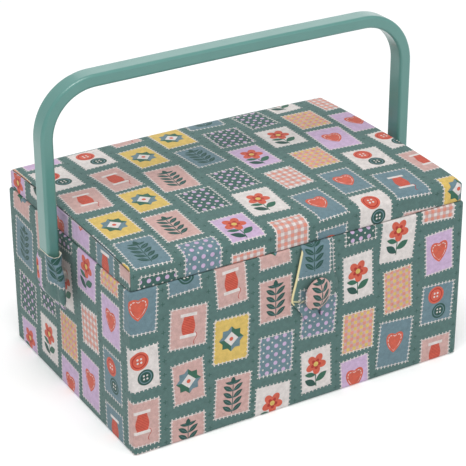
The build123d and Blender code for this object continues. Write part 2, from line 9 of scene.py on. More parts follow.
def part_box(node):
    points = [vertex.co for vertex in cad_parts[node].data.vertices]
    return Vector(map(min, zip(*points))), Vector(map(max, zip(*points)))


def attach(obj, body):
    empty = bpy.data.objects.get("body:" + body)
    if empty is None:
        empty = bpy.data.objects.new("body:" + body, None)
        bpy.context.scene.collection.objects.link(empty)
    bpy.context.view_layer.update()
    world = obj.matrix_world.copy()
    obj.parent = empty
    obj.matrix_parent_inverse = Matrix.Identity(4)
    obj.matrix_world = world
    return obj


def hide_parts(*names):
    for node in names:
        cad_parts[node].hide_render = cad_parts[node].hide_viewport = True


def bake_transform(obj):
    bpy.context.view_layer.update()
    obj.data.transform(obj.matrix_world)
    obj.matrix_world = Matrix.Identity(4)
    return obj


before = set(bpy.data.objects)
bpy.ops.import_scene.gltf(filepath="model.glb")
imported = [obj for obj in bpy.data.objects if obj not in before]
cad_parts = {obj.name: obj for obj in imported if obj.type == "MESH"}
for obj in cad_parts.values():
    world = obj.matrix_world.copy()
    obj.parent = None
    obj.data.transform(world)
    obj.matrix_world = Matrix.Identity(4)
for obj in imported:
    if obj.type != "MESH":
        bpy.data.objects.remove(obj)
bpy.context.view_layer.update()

# Camera and room: a long lens from the front left, a little above the box, in a white
# room with a large soft light over the left shoulder and weaker ones from the right and
# from behind the box. The floor is a plain pale sheet that the box stands on.
lens = 134.92
view_turn = radians(-30.403)
view_tilt = radians(26.715)
view_roll = radians(-0.262)
view_centre = Vector((0, 0, 0.1))
view_shift = Vector((-0.00117, 0.00982, 1.5172))

scene = bpy.context.scene
scene.view_settings.view_transform = "Standard"
camera = bpy.data.objects.new("camera", bpy.data.cameras.new("camera"))
camera.data.lens = lens
camera.data.sensor_width = 36
camera.matrix_world = (
    Matrix.Translation(view_centre)
    @ Matrix.Rotation(view_turn, 4, "Z")
    @ Matrix.Rotation(pi / 2 - view_tilt, 4, "X")
    @ Matrix.Translation(view_shift)
    @ Matrix.Rotation(view_roll, 4, "Z")
)
scene.collection.objects.link(camera)
scene.camera = camera


def srgb(red, green, blue):
    """A colour given as 0 to 255 on the screen, as the linear colour that nodes take."""
    screen = np.array((red, green, blue)) / 255
    linear = np.where(screen < 0.04045, screen / 12.92, ((screen + 0.055) / 1.055) ** 2.4)
    return (*linear.tolist(), 1)


def soft_light(name, place, size, watts, colour):
    """A square area light at a place, turned to face the box."""
    lamp = bpy.data.lights.new(name, "AREA")
    lamp.size = size
    lamp.energy = watts
    lamp.color = colour
    light = bpy.data.objects.new(name, lamp)
    light.location = place
    light.rotation_euler = (view_centre - Vector(place)).to_track_quat("-Z", "Y").to_euler()
    scene.collection.objects.link(light)


def shader_of(material):
    """The inputs of a material's shader."""
    return material.node_tree.nodes["Principled BSDF"].inputs


def new_material(name, roughness):
    """A material with that roughness, and its node tree."""
    material = bpy.data.materials.new(name)
    material.use_nodes = True
    shader_of(material)["Roughness"].default_value = roughness
    return material, material.node_tree


soft_light("window", (-0.35, -0.5, 1.75), 0.9, 17, (1, 0.99, 0.97))
soft_light("reflector", (1.0, -1.4, 0.7), 1.2, 2.5, (0.97, 0.99, 1))
soft_light("backdrop", (0.9, 1.6, 0.9), 1.5, 4.5, (0.98, 1, 1))
room = bpy.data.worlds.new("white_room")
room.use_nodes = True
air = room.node_tree.nodes["Background"].inputs
air["Color"].default_value = srgb(250, 251, 252)
air["Strength"].default_value = 0.68
scene.world = room

floor_mesh = bpy.data.meshes.new("floor")
floor_mesh.from_pydata([(-4, -4, 0), (4, -4, 0), (4, 4, 0), (-4, 4, 0)], [], [(0, 1, 2, 3)])
floor = bpy.data.objects.new("floor", floor_mesh)
scene.collection.objects.link(floor)
floor_paint, _ = new_material("floor_paint", 0.9)
floor_shader = shader_of(floor_paint)
floor_shader["Base Color"].default_value = srgb(247, 248, 248)
floor_shader["Emission Color"].default_value = srgb(255, 255, 255)
floor_shader["Emission Strength"].default_value = 0.12
floor_mesh.materials.append(floor_paint)

# Body cover: one length of printed polycotton round the padded walls, glued under the
# base and turned in over the rim. The threads run level and upright, and the printed
# patches stand upright on all four walls. It is stretched, with a few soft puckers.
mm = 0.001


class Field:
    """A number that changes over a surface, worked out by Math nodes in one node tree."""

    def __init__(self, tree, socket):
        self.tree = tree
        self.socket = socket

    def math(self, operation, *others, clamp=False):
        node = self.tree.nodes.new("ShaderNodeMath")
        node.operation = operation
        node.use_clamp = clamp
        for place, value in enumerate((self, *others)):
            feed(self.tree, value, node.inputs[place])
        return Field(self.tree, node.outputs[0])

    __add__ = __radd__ = partialmethod(math, "ADD")
    __sub__ = partialmethod(math, "SUBTRACT")
    __rsub__ = partialmethod(math, "MULTIPLY_ADD", -1.0)
    __mul__ = __rmul__ = partialmethod(math, "MULTIPLY")
    __truediv__ = partialmethod(math, "DIVIDE")
    __abs__ = partialmethod(math, "ABSOLUTE")
    least = partialmethod(math, "MINIMUM")
    most = partialmethod(math, "MAXIMUM")
    above = partialmethod(math, "GREATER_THAN")
    floor = partialmethod(math, "FLOOR")
    wrapped = partialmethod(math, "FLOORED_MODULO")
    sine = partialmethod(math, "SINE")
    cosine = partialmethod(math, "COSINE")

    def centred(self, period):
        """How far it is from the nearest whole repeat."""
        return (self + period / 2).wrapped(period) - period / 2

    def edge(self, blur=0.22):
        """1 where the field is below 0, and 0 above, with a soft step that wide."""
        return self.math("MULTIPLY_ADD", -1 / blur, 0.5, clamp=True)


def feed(tree, value, socket):
    """Puts a field, another node's output or a constant into a node's input."""
    if isinstance(value, Field):
        value = value.socket
    if isinstance(value, bpy.types.NodeSocket):
        tree.links.new(value, socket)
    else:
        socket.default_value = value


def length(x, y):
    """The distance from the middle, by Pythagoras."""
    return (x * x + y * y).math("SQRT")


def add_node(tree, kind, inputs=()):
    """A new shader node, with inputs fed by their names or places."""
    node = tree.nodes.new("ShaderNode" + kind)
    for name, value in dict(inputs).items():
        feed(tree, value, node.inputs[name])
    return node


def split_vector(tree, socket):
    """The three parts of a vector, as fields."""
    return [Field(tree, part) for part in add_node(tree, "SeparateXYZ", {0: socket}).outputs]


def join_vector(x, y):
    """A flat vector made of two fields, as a socket."""
    return add_node(x.tree, "CombineXYZ", {0: x, 1: y}).outputs[0]


def noise(tree, place, scale, detail=2.0):
    """Smooth noise from 0 to 1 over a place, with that many lumps to its unit."""
    inputs = {"Vector": place, "Scale": scale, "Detail": detail}
    return Field(tree, add_node(tree, "TexNoise", inputs).outputs["Fac"])


def mix_colour(tree, share, first, second, way="MIX"):
    """First colour, with that share of the second laid on it."""
    node = add_node(tree, "Mix", {0: share, 6: first, 7: second})
    node.data_type = "RGBA"
    node.blend_type = way
    return node.outputs[2]


def new_group(name, inputs, outputs):
    """An empty shader node group with named sockets, and its inside ends."""
    tree = bpy.data.node_groups.new(name, "ShaderNodeTree")
    for label, kind, value in inputs:
        socket = tree.interface.new_socket(label, in_out="INPUT", socket_type=kind)
        if value is not None:
            socket.default_value = value
    for label, kind in outputs:
        tree.interface.new_socket(label, in_out="OUTPUT", socket_type=kind)
    return tree, tree.nodes.new("NodeGroupInput"), tree.nodes.new("NodeGroupOutput")


def woven_group():
    """Plain weave: threads as round ridges both ways, each over and under in turn, with
    uneven yarn. Place is in millimetres, Pitch the distance from thread to thread."""
    tree, start, end = new_group(
        "plain_weave",
        (("Place", "NodeSocketVector", None), ("Pitch", "NodeSocketFloat", 0.6)),
        (("Height", "NodeSocketFloat"), ("Shade", "NodeSocketFloat")),
    )
    pitch = Field(tree, start.outputs["Pitch"])
    x, y, _ = split_vector(tree, start.outputs["Place"])
    across = x / pitch
    along = y / pitch
    over = (across.floor() + along.floor()).wrapped(2.0)
    ridges = abs((across * pi).sine()) * over + abs((along * pi).sine()) * (1 - over)
    slub = noise(tree, join_vector(x * 0.35, y * 2.2), 1.0)
    slub_up = noise(tree, join_vector(x * 2.2, y * 0.35), 1.0)
    yarn = (slub + slub_up) * 0.5
    feed(tree, ridges * 0.7 + yarn * 0.6, end.inputs["Height"])
    # Shade: painted shade, lighter on the threads' crowns and darker between them, times the
    # yarn's own uneven tone.
    feed(tree, 0.80 + ridges * 0.16 + (yarn - 0.5) * 0.55, end.inputs["Shade"])
    return tree


plain_weave = woven_group()

ground_teal = srgb(86, 118, 114)
deep_green = srgb(38, 82, 74)
leaf_green = srgb(52, 104, 84)
cream_print = srgb(226, 219, 216)
rose_print = srgb(208, 170, 164)
lilac_print = srgb(205, 178, 211)
mustard_print = srgb(222, 190, 104)
sky_print = srgb(108, 136, 146)
coral_print = srgb(212, 96, 74)
peach_print = srgb(224, 146, 128)
deep_teal = srgb(62, 100, 94)
berry_print = srgb(176, 48, 40)

patch_pitch_x = 41.0
patch_pitch_y = 51.0
patch_half_x = 15.2
patch_half_y = 20.2
shift_x = 4.0
shift_y = 5.0
stitch_pitch = 3.7
cross_rows = 4


def leaf(x, y, base_x, base_y, turn, long, wide):
    """A pointed leaf from its base out at an angle: its half width is a parabola."""
    along = (x - base_x) * cos(turn) + (y - base_y) * sin(turn) - long / 2
    aside = (y - base_y) * cos(turn) - (x - base_x) * sin(turn)
    hump = 1 - (along * (2 / long)).math("POWER", 2.0)
    return abs(aside) - hump * (wide / 2)


def blossom(x, y):
    """Five round petals in coral with a darker heart, on a stem with two leaves."""
    up = y - 5.0
    away = length(x, up)
    lobes = abs((up.math("ARCTAN2", x) * 2.5 + 0.6).cosine())
    return [
        (abs(x + 0.6) - 0.45).most(abs(y + 7.5) - 9.5), leaf_green,
        leaf(x, y, -0.6, -12.0, radians(32), 13.0, 6.4), leaf_green,
        leaf(x, y, -0.6, -15.5, radians(145), 13.0, 6.2), deep_green,
        leaf(x, y, -0.6, -5.5, radians(165), 11.0, 4.6), leaf_green,
        away - (6.0 + lobes * 4.2), coral_print,
        away - (2.4 + lobes * 2.8), berry_print,
        away - 2.3, mustard_print,
    ]


def two_buttons(x, y):
    """Two sewn buttons, one above the other, each with a rim and four holes."""
    high = length(x + 2.0, y - 8.0)
    low = length(x - 2.5, y + 8.2)
    holes = length(abs(x + 2.0) - 1.6, abs(y - 8.0) - 1.6)
    low_holes = length(abs(x - 2.5) - 1.5, abs(y + 8.2) - 1.5)
    return [
        high - 8.2, coral_print,
        abs(high - 6.0) - 0.45, berry_print,
        holes - 0.95, cream_print,
        low - 7.2, deep_green,
        abs(low - 5.2) - 0.4, sky_print,
        low_holes - 0.85, cream_print,
    ]


def sprig(x, y):
    """A straight stem with leaves in pairs, each pair the same as the next."""
    side = abs(x)
    rung = (y + 15.0).wrapped(6.4)
    inside = abs(y + 0.6) - 14.6
    pair = leaf(side, rung, 0.2, 0.0, radians(36), 11.0, 4.2)
    return [
        (side - 0.4).most(abs(y + 1.0) - 15.6), deep_green,
        pair.most(inside), deep_green,
        leaf(x, y, 0.0, 11.0, radians(90), 7.0, 4.2), deep_green,
        (abs(side - rung * 1.37) - 0.22).most(side - 7.0).most(inside), sky_print,
    ]


def gingham(x, y):
    """Woven checks: level and upright bands, darker where the two cross."""
    upright = abs(x.centred(6.2)) - 1.55
    flat = abs(y.centred(6.2)) - 1.55
    return [
        upright.least(flat), rose_print,
        upright.most(flat), peach_print,
    ]


def cotton_reel(x, y):
    """A wooden reel wound with thread, its end hanging down beside it."""
    wound = (abs(x) - (5.2 + (y * 0.30).cosine())).most(abs(y - 1.5) - 8.0)
    lines = abs(y.centred(1.5)) - 0.22
    flanges = (abs(x) - 7.4).most(abs(abs(y - 1.5) - 9.4) - 1.4)
    tail = (abs(x - 6.6 - (y * 0.55).sine() * 1.3) - 0.3).most(abs(y + 11.0) - 5.4)
    return [
        wound, coral_print,
        wound.most(lines), berry_print,
        flanges, cream_print,
        tail, berry_print,
    ]


def spots(x, y):
    """Round spots in offset rows, with small ones between."""
    big = length(x.centred(8.0), y.centred(8.0)) - 1.9
    small = length((x - 4.0).centred(8.0), (y - 4.0).centred(8.0)) - 0.8
    return [
        big, lilac_print,
        small, cream_print,
    ]


def heart(x, y):
    """A heart: a circle whose two halves are pushed up to each side, with a stitched line."""
    side = abs(x)
    away = length(x * 1.02, y - side * 0.62 + 0.5)
    dashes = abs(((y - side) * 0.9).centred(3.0)) - 0.95
    return [
        away - 9.0, coral_print,
        (abs(away - 7.0) - 0.32).most(dashes), cream_print,
    ]


def quilt_star(x, y):
    """The eight-pointed quilt star: a square and a square on its corner, cut in quarters."""
    down = y - 0.5
    square = abs(x).most(abs(down))
    corner = (abs(x) + abs(down)) * 0.7071
    quarters = x * down
    star = square.least(corner) - 8.2
    return [
        star, leaf_green,
        star.most(quarters * 0.4), sky_print,
        corner - 4.6, cream_print,
        length(x, down) - 1.8, coral_print,
    ]


def patch_print_group():
    """Cloth printed to look like patches sewn down with whip stitches. Columns are set
    half a repeat up in turn. Each patch is shifted and turned a little by white noise,
    and its motif follows from its column and row. Place is in millimetres."""
    tree, start, end = new_group(
        "patch_print",
        (("Place", "NodeSocketVector", None),),
        (("Colour", "NodeSocketColor"),),
    )
    u, v, _ = split_vector(tree, start.outputs["Place"])
    column = (u / patch_pitch_x).floor()
    lifted = v + column.wrapped(2.0) * (patch_pitch_y / 2)
    row = (lifted / patch_pitch_y).floor()
    square = join_vector(column + 0.5, row + 0.5)
    chance = add_node(tree, "TexWhiteNoise", {"Vector": square})
    chance.noise_dimensions = "2D"
    first, second, third = split_vector(tree, chance.outputs["Color"])
    wander = noise(tree, start.outputs["Place"], 0.055, 1.0)
    away_x = u - (column + 0.5) * patch_pitch_x + (first - 0.5) * shift_x
    away_y = lifted - (row + 0.5) * patch_pitch_y + (second - 0.5) * shift_y
    turn = (third - 0.5) * 0.17 + (wander - 0.5) * 0.05
    x = away_x * turn.cosine() - away_y * turn.sine()
    y = away_x * turn.sine() + away_y * turn.cosine()

    kind = (column * 3.0 + row * 5.0).wrapped(8.0)
    other = (second * 7.31).wrapped(1.0).above(0.5)
    half_x = patch_half_x + (third - 0.5) * 3.6
    half_y = patch_half_y + (first - 0.5) * 5.0
    past_x = abs(x) - half_x
    past_y = abs(y) - half_y
    outline = past_x.most(past_y)
    inside = outline.edge()
    on_upright = past_x.above(past_y)
    run = y * on_upright + x * (1 - on_upright)
    stitches = (abs(run.centred(stitch_pitch)) - 0.5).most(abs(outline) - 1.3)

    paint = noise(tree, start.outputs["Place"], 0.22, 3.0)
    crosses_x = abs(u.centred(patch_pitch_x))
    crosses_y = abs(v.centred(patch_pitch_y / cross_rows))
    crosses = (crosses_x.most(crosses_y) - 1.9).most(crosses_x.least(crosses_y) - 0.33)
    colour = mix_colour(tree, crosses.edge() * 0.8, ground_teal, deep_green)

    panels = (
        (cream_print, lilac_print), (sky_print, cream_print), (rose_print, sky_print),
        (cream_print, mustard_print), (rose_print, sky_print), (deep_teal, sky_print),
        (lilac_print, sky_print), (rose_print, mustard_print),
    )
    ramps = []
    for choice in (0, 1):
        ramp = add_node(tree, "ValToRGB", {0: (kind + 0.5) / len(panels)})
        ramp.color_ramp.interpolation = "CONSTANT"
        while len(ramp.color_ramp.elements) < len(panels):
            ramp.color_ramp.elements.new(1.0)
        for step, pair in enumerate(panels):
            ramp.color_ramp.elements[step].position = step / len(panels)
            ramp.color_ramp.elements[step].color = pair[choice]
        ramps.append(ramp.outputs[0])
    panel = mix_colour(tree, other, ramps[0], ramps[1])
    colour = mix_colour(tree, inside, colour, panel)
    motifs = (blossom, two_buttons, sprig, gingham, cotton_reel, spots, heart, quilt_star)
    for number, motif in enumerate(motifs):
        chosen = kind.math("COMPARE", float(number), 0.5) * (outline + 0.9).edge()
        layers = motif(x, y)
        for form, tint in zip(layers[::2], layers[1::2]):
            colour = mix_colour(tree, form.edge() * chosen, colour, tint)
    colour = mix_colour(tree, (abs(outline + 0.3) - 0.22).edge(), colour, cream_print)
    colour = mix_colour(tree, stitches.edge(), colour, cream_print)
    brushed = (0.93 + (paint - 0.5) * 0.5).least(1.08)
    colour = mix_colour(tree, 1.0, colour, brushed, "MULTIPLY")
    feed(tree, colour, end.inputs["Colour"])
    return tree


patch_print = patch_print_group()


def dress(material, colour, height, depth, strength=1.0):
    """Gives a material its colour and its relief, and returns its shader's inputs."""
    tree = material.node_tree
    shader = shader_of(material)
    relief = {"Distance": depth, "Strength": strength, "Height": height}
    feed(tree, colour, shader["Base Color"])
    feed(tree, add_node(tree, "Bump", relief).outputs[0], shader["Normal"])
    return shader


def overlay(material, share, colour):
    """Lays that share of a colour over the colour that a material has."""
    tree = material.node_tree
    base = shader_of(material)["Base Color"]
    feed(tree, mix_colour(tree, share, base.links[0].from_socket, colour), base)


def stored(material, name):
    """The number that a piece's mesh stores under a name, as a field."""
    node = add_node(material.node_tree, "Attribute")
    node.attribute_name = name
    return Field(material.node_tree, node.outputs["Fac"])


def cloth_place(tree, shift=(0, 0)):
    """Where a point lies on the flat cloth, in millimetres, from the piece's own UV map."""
    place = add_node(tree, "UVMap")
    place.uv_map = "cloth"
    inputs = {0: place.outputs[0], "Scale": (1000, 1000, 1000), "Location": (*shift, 0)}
    return add_node(tree, "Mapping", inputs).outputs[0]


def add_group(tree, group, place, **constants):
    """The outputs of a node that uses a group, fed with a place and its constants."""
    node = add_node(tree, "Group")
    node.node_tree = group
    for name, value in {"Place": place, **constants}.items():
        feed(tree, value, node.inputs[name])
    return node.outputs


def weave_over(material, place, colour, depth, strength=1.0, pitch=0.6):
    """Lays the weave, with its painted shade between the threads, over a material's colour, and
    returns its shader's inputs.
    """
    tree = material.node_tree
    weave = add_group(tree, plain_weave, place, Pitch=pitch)
    shaded = mix_colour(tree, 1.0, colour, weave["Shade"], "MULTIPLY")
    return dress(material, shaded, weave["Height"], depth, strength)


def printed_cotton(name, shift):
    """Patch-printed polycotton, with the print moved over the piece by shift in mm, and
    painted shade: darker where the mesh stores how much shade to paint, in seams and folds."""
    material, tree = new_material(name, 0.82)
    place = cloth_place(tree, shift)
    pattern = add_group(tree, patch_print, place)
    shader = weave_over(material, place, pattern["Colour"], 0.12 * mm, 0.55)
    shader["Sheen Weight"].default_value = 0.12
    shader["Specular IOR Level"].default_value = 0.35
    # Painted shade: a near-black green laid over the cloth in seam grooves and folds, by the
    # amount that the mesh stores.
    overlay(material, stored(material, "crease_shade") * 0.8, srgb(34, 46, 44))
    return material


def ring_columns(per_x, per_y, per_corner):
    """What places the columns of a grid round a rounded rectangle, from the middle of
    its back left corner, counterclockwise seen from above: for each column the corner
    centre that it leaves (-1 to 1 both ways), its outward angle, and the wall it is on
    (0 left, 1 front, 2 right, 3 back). Along a wall they stand closer toward its ends,
    by a half wave. The last column is the first again."""
    half = per_corner // 2
    corners = np.array(((-1, 1), (-1, -1), (1, -1), (1, 1), (-1, 1)))
    turn_in = np.linspace(-45, 0, half, endpoint=False)
    turn_out = np.linspace(0, 45, half, endpoint=False)
    centre, angle, wall = [], [], []
    for number, count in enumerate((per_y, per_x, per_y, per_x)):
        begin, finish = corners[number : number + 2]
        wave = (1 - np.cos(np.linspace(0, pi, count, endpoint=False))) / 2
        share = np.r_[np.zeros(half), wave, np.ones(half)][:, None]
        turn = np.r_[turn_in, np.zeros(count), turn_out]
        centre.append(begin + share * (finish - begin))
        angle.append(np.radians(180 + 90 * number + turn))
        wall.append(np.full(len(turn), number))
    centre = np.concatenate((*centre, centre[0][:1]))
    angle = np.concatenate((*angle, angle[0][:1] + 2 * pi))
    return centre, angle, np.concatenate(wall)


def rings(columns, half_x, half_y, radius):
    """Rounded rectangles, one for each row of half sizes and corner radius: a corner
    centre, drawn in by the radius, plus the radius along the outward angle."""
    centre, angle, _ = columns
    half_x, half_y, radius = (
        np.asarray(size, float).reshape(-1, 1) for size in (half_x, half_y, radius)
    )
    x = centre[:, 0] * (half_x - radius) + radius * np.cos(angle)
    y = centre[:, 1] * (half_y - radius) + radius * np.sin(angle)
    return x, y


def grid(*parts):
    """The x, y and z of a grid, or two of them, put together as points."""
    return np.stack(np.broadcast_arrays(*parts), -1)


def face_corners(values):
    """What a grid holds at the four corners of each of its faces."""
    return np.stack((values[:-1, :-1], values[:-1, 1:], values[1:, 1:], values[1:, :-1]), 2)


def surface(name, points, uv, material, poles=(False, False), flip=False, ring=False, wrap=True):
    """A smooth mesh over a grid of points (rows, columns, 3). A wrapped grid's last
    column is its first again, and a ring's last row is its first too. A pole closes the
    first or last row to one point, its middle. uv has a place for each point, or for
    each corner of each face."""
    rows, columns = points.shape[:2]
    kept = points[: rows - ring, : columns - wrap]
    height, width = kept.shape[:2]
    index = np.arange(rows)[:, None] % height * width + np.arange(columns) % width
    uv = face_corners(uv) if uv.ndim == 3 else uv
    vertices = kept.reshape(-1, 3)
    faces = face_corners(index).reshape(-1, 4)
    corners = uv.reshape(-1, 4, 2)
    if flip:
        faces, corners = faces[:, ::-1], corners[:, ::-1]
    face_list = faces.tolist()
    corner_list = [corners.reshape(-1, 2)]
    for row, wanted in zip((0, -1), poles):
        if wanted:
            near, far = index[row, :-1], index[row, 1:]
            edge_uv = uv[0, :, :2] if row == 0 else uv[-1, :, [3, 2]].transpose(1, 0, 2)
            if (row == 0) != flip:
                near, far, edge_uv = far, near, edge_uv[:, ::-1]
            face_list += np.stack((near, far, np.full(len(near), len(vertices))), -1).tolist()
            vertices = np.append(vertices, kept[row].mean(0)[None], 0)
            centre_uv = np.repeat(edge_uv.reshape(-1, 2).mean(0)[None, None], len(near), 0)
            corner_list.append(np.concatenate((edge_uv, centre_uv), 1).reshape(-1, 2))
    mesh = bpy.data.meshes.new(name)
    mesh.from_pydata(vertices.tolist(), [], face_list)
    layer = mesh.uv_layers.new(name="cloth")
    layer.data.foreach_set("uv", np.concatenate(corner_list).astype(np.float32).ravel())
    mesh.shade_smooth()
    mesh.materials.append(material)
    piece = bpy.data.objects.new(name, mesh)
    scene.collection.objects.link(piece)
    return piece


def thicken(piece, thickness):
    """A live Solidify that gives a sheet its thickness, away from its good side."""
    layer = piece.modifiers.new("thickness", "SOLIDIFY")
    layer.thickness = thickness
    layer.offset = -1
    layer.use_even_offset = False


def mark(piece, name, values):
    """Stores a number for each point of a mesh under a name."""
    layer = piece.data.attributes.new(name, "FLOAT", "POINT")
    layer.data.foreach_set("value", np.asarray(values, np.float32).ravel())


def run_length(points, axis):
    """Distances along a grid's rows or columns, added up from the first."""
    steps = np.linalg.norm(np.diff(points, axis=axis), axis=-1)
    start = np.zeros_like(np.take(steps, [0], axis))
    return np.append(start, np.cumsum(steps, axis), axis)


cover_low, cover_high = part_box("outer_cover")
body_x, body_y, body_top = cover_high
foot_z = cover_low.z
cloth = 0.6 * mm
body_corner = 2.6 * mm
rim_round = 2.0 * mm
foot_round = 0.9 * mm
wall_bulge = 0.25 * mm
wall_wave = 0.09 * mm
turn_in = 16 * mm
turn_under = 18 * mm
inner_inset = body_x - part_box("wall_lining")[1].x
body_columns = ring_columns(96, 66, 10)

quarter = np.linspace(0, pi / 2, 7)
cover_inset = np.r_[
    np.linspace(turn_under, foot_round, 6)[:-1],
    foot_round * (1 - np.sin(quarter)),
    np.zeros(40),
    rim_round * (1 - np.cos(quarter)),
    inner_inset - 0.4 * mm,
    np.full(5, inner_inset),
]
cover_z = np.r_[
    np.full(5, foot_z),
    foot_z + foot_round * (1 - np.cos(quarter)),
    np.linspace(foot_z + foot_round, body_top - rim_round, 42)[1:-1],
    body_top - rim_round * (1 - np.sin(quarter)),
    body_top - 0.1 * mm,
    np.linspace(body_top - 0.6 * mm, body_top - turn_in, 5),
]
cover_radius = np.maximum(body_corner - cover_inset, 0.4 * mm)
x, y = rings(body_columns, body_x - cover_inset, body_y - cover_inset, cover_radius)
round_run = run_length(grid(x, y)[cover_inset.argmin()], 0)
height_run = run_length(grid(cover_inset, cover_z), 0)
height_run -= np.interp(foot_z + foot_round, cover_z[:20], height_run[:20]) - foot_round


def wall_swell(run, z):
    """How far cloth stands off a padded wall: a slight bulge at mid height, with level
    and upright waves of a few centimetres that fade out at the foot and the rim."""
    share = np.clip((z - foot_z) / (body_top - foot_z), 0, 1)
    bulge = wall_bulge * np.sin(pi * share) ** 0.7
    waves = np.sin(run * 61 + 3 * share) * np.sin(run * 23 + 9 * share + 1.3)
    return bulge + wall_wave * waves * np.sin(pi * share)


outside = (cover_inset < 0.01 * mm)[:, None]
swell = outside * wall_swell(round_run, cover_z[:, None])
x = x + swell * np.cos(body_columns[1])
y = y + swell * np.sin(body_columns[1])
cover_points = grid(x, y, cover_z[:, None])
cover_uv = grid(round_run, height_run[:, None])
body_cotton = printed_cotton("body_cotton", (-7.0, 22.0))
body_cover = surface("body_cover", cover_points, cover_uv, body_cotton)
thicken(body_cover, 0.5 * mm)
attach(body_cover, "box")
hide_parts("outer_cover")

# Wall padding: a thin layer of polyester wadding wrapped once round the card walls,
# rounded over at the rim under the cover. It can't be seen in the finished box.


def solid_place(tree):
    """Where a point lies on the object, in metres."""
    return add_node(tree, "TexCoord").outputs["Object"]


def wadding_material():
    """White polyester wadding, with loose fibres both ways."""
    material, tree = new_material("wadding", 0.95)
    fibres = noise(tree, solid_place(tree), 900, 4.0)
    colour = mix_colour(tree, fibres, srgb(225, 225, 222), srgb(250, 250, 248))
    dress(material, colour, fibres, 0.4 * mm)
    return material


wadding = wadding_material()
pad_low, pad_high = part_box("wall_wadding")
pad_gap = 0.05 * mm
pad_wall = pad_high.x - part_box("front_board")[1].x - 0.1 * mm
pad_corner = body_corner - cloth - pad_gap
pad_foot_round = 0.8 * mm
pad_rim_round = 1.2 * mm
pad_inside_z = pad_low.z + 20 * mm
pad_inset = np.r_[
    pad_wall,
    pad_wall,
    pad_foot_round * (1 - np.sin(quarter)),
    pad_rim_round * (1 - np.cos(quarter)),
    pad_wall,
    pad_wall,
]
pad_z = np.r_[
    pad_inside_z,
    pad_low.z,
    pad_low.z + pad_foot_round * (1 - np.cos(quarter)),
    pad_high.z - pad_rim_round * (1 - np.sin(quarter)),
    pad_high.z,
    pad_inside_z,
]
pad_x, pad_y = rings(
    body_columns,
    pad_high.x - pad_gap - pad_inset,
    pad_high.y - pad_gap - pad_inset,
    np.maximum(pad_corner - pad_inset, 0.3 * mm),
)
pad_points = grid(pad_x, pad_y, pad_z[:, None])
wall_padding = surface("wall_padding", pad_points, pad_points[..., :2], wadding)
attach(wall_padding, "box")
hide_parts("wall_wadding")

# Base: a panel of plain bonded cloth glued flat under the card floor, over the cover's
# turned edge. It is what the box stands on.


def plain_cotton(name, light, dark, pitch, roughness, sheen):
    """Plain woven cotton of one colour, with uneven dye and yarn."""
    material, tree = new_material(name, roughness)
    place = cloth_place(tree)
    tone = mix_colour(tree, noise(tree, place, 0.06, 3.0), dark, light)
    shader = weave_over(material, place, tone, 0.1 * mm, 0.6, pitch)
    shader["Sheen Weight"].default_value = sheen
    return material


def ring_slab(name, columns, low, high, corner, round_low, round_high, bulge, material):
    """A closed flat pad: rings out from the middle of its underside, up its rounded edge
    and back to the middle of its top. bulge swells its underside and its top by a
    parabola both ways, in metres."""
    low, high = np.array(low), np.array(high)
    middle = (high + low) / 2
    half_x, half_y, _ = (high - low) / 2
    inner = np.linspace(0.02, 1, 14)
    level_part = np.ones(13)
    turn = np.linspace(0, pi / 2, 5)
    shrink = np.r_[inner[:-1], np.ones(2 * len(turn)), inner[-2::-1]]
    inset = np.r_[
        round_low * level_part,
        round_low * (1 - np.sin(turn)),
        round_high * (1 - np.cos(turn)),
        round_high * level_part,
    ]
    level = np.r_[
        low[2] * level_part,
        low[2] + round_low * (1 - np.cos(turn)),
        high[2] - round_high * (1 - np.sin(turn)),
        high[2] * level_part,
    ]
    radius = np.maximum(corner - inset, 0.2 * mm) * shrink
    x, y = rings(columns, (half_x - inset) * shrink, (half_y - inset) * shrink, radius)
    dome = (1 - (x / half_x) ** 2) * (1 - (y / half_y) ** 2)
    row = np.arange(len(level))[:, None]
    swell = (row > len(level) - len(inner)) * bulge[1] - (row < len(inner)) * bulge[0]
    points = grid(x + middle[0], y + middle[1], level[:, None] + swell * dome)
    return surface(name, points, points[..., :2], material, poles=(True, True))


base_green = srgb(70, 98, 93)
base_shade = srgb(60, 88, 84)
base_cotton = plain_cotton("base_cotton", base_green, base_shade, 0.8, 0.9, 0.05)
slab_columns = ring_columns(32, 24, 8)
under_panel = ring_slab(
    "under_panel", slab_columns, *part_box("base_cloth"), body_corner,
    0.15 * mm, 0.15 * mm, (0, 0), base_cotton,
)
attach(under_panel, "box")
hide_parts("base_cloth")

# Card: the walls, the floor and the lid's frame are grey board, 3 to 4 mm thick, glued
# at the corners. Its cut edges are hidden under cloth.


def card_material():
    """Grey board: recycled pulp with dark and light flecks."""
    material, tree = new_material("grey_card", 0.9)
    place = solid_place(tree)
    pulp = noise(tree, place, 260, 5.0)
    flecks = noise(tree, place, 1500, 1.0).above(0.66)
    colour = mix_colour(tree, pulp, srgb(120, 116, 108), srgb(158, 153, 144))
    colour = mix_colour(tree, flecks * 0.4, colour, srgb(92, 88, 82))
    dress(material, colour, pulp, 0.05 * mm)
    return material


def finish_node(name, material):
    """Gives a carried-over solid its material."""
    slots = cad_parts[name].data.materials
    slots.clear()
    slots.append(material)


grey_card = card_material()
for name in (
    "base_board", "front_board", "back_board", "left_board", "right_board",
    "lid_front_rim", "lid_back_rim", "lid_left_rim", "lid_right_rim", "lid_board",
):
    finish_node(name, grey_card)

# Lining: the inside walls and the tray's ledges are card wrapped in plain ivory cotton,
# and the floor is a thin padded card in the same cloth.


def lining_on_solid():
    """The ivory lining cotton for solids that have no map: threads by height and round."""
    material, tree = new_material("lining_wall", 0.8)
    place = solid_place(tree)
    x, y, z = (part * 1000.0 for part in split_vector(tree, place))
    tone = mix_colour(tree, noise(tree, place, 30, 3.0), ivory_shade, ivory)
    weave_over(material, join_vector(x + y, z), tone, 0.1 * mm)
    return material


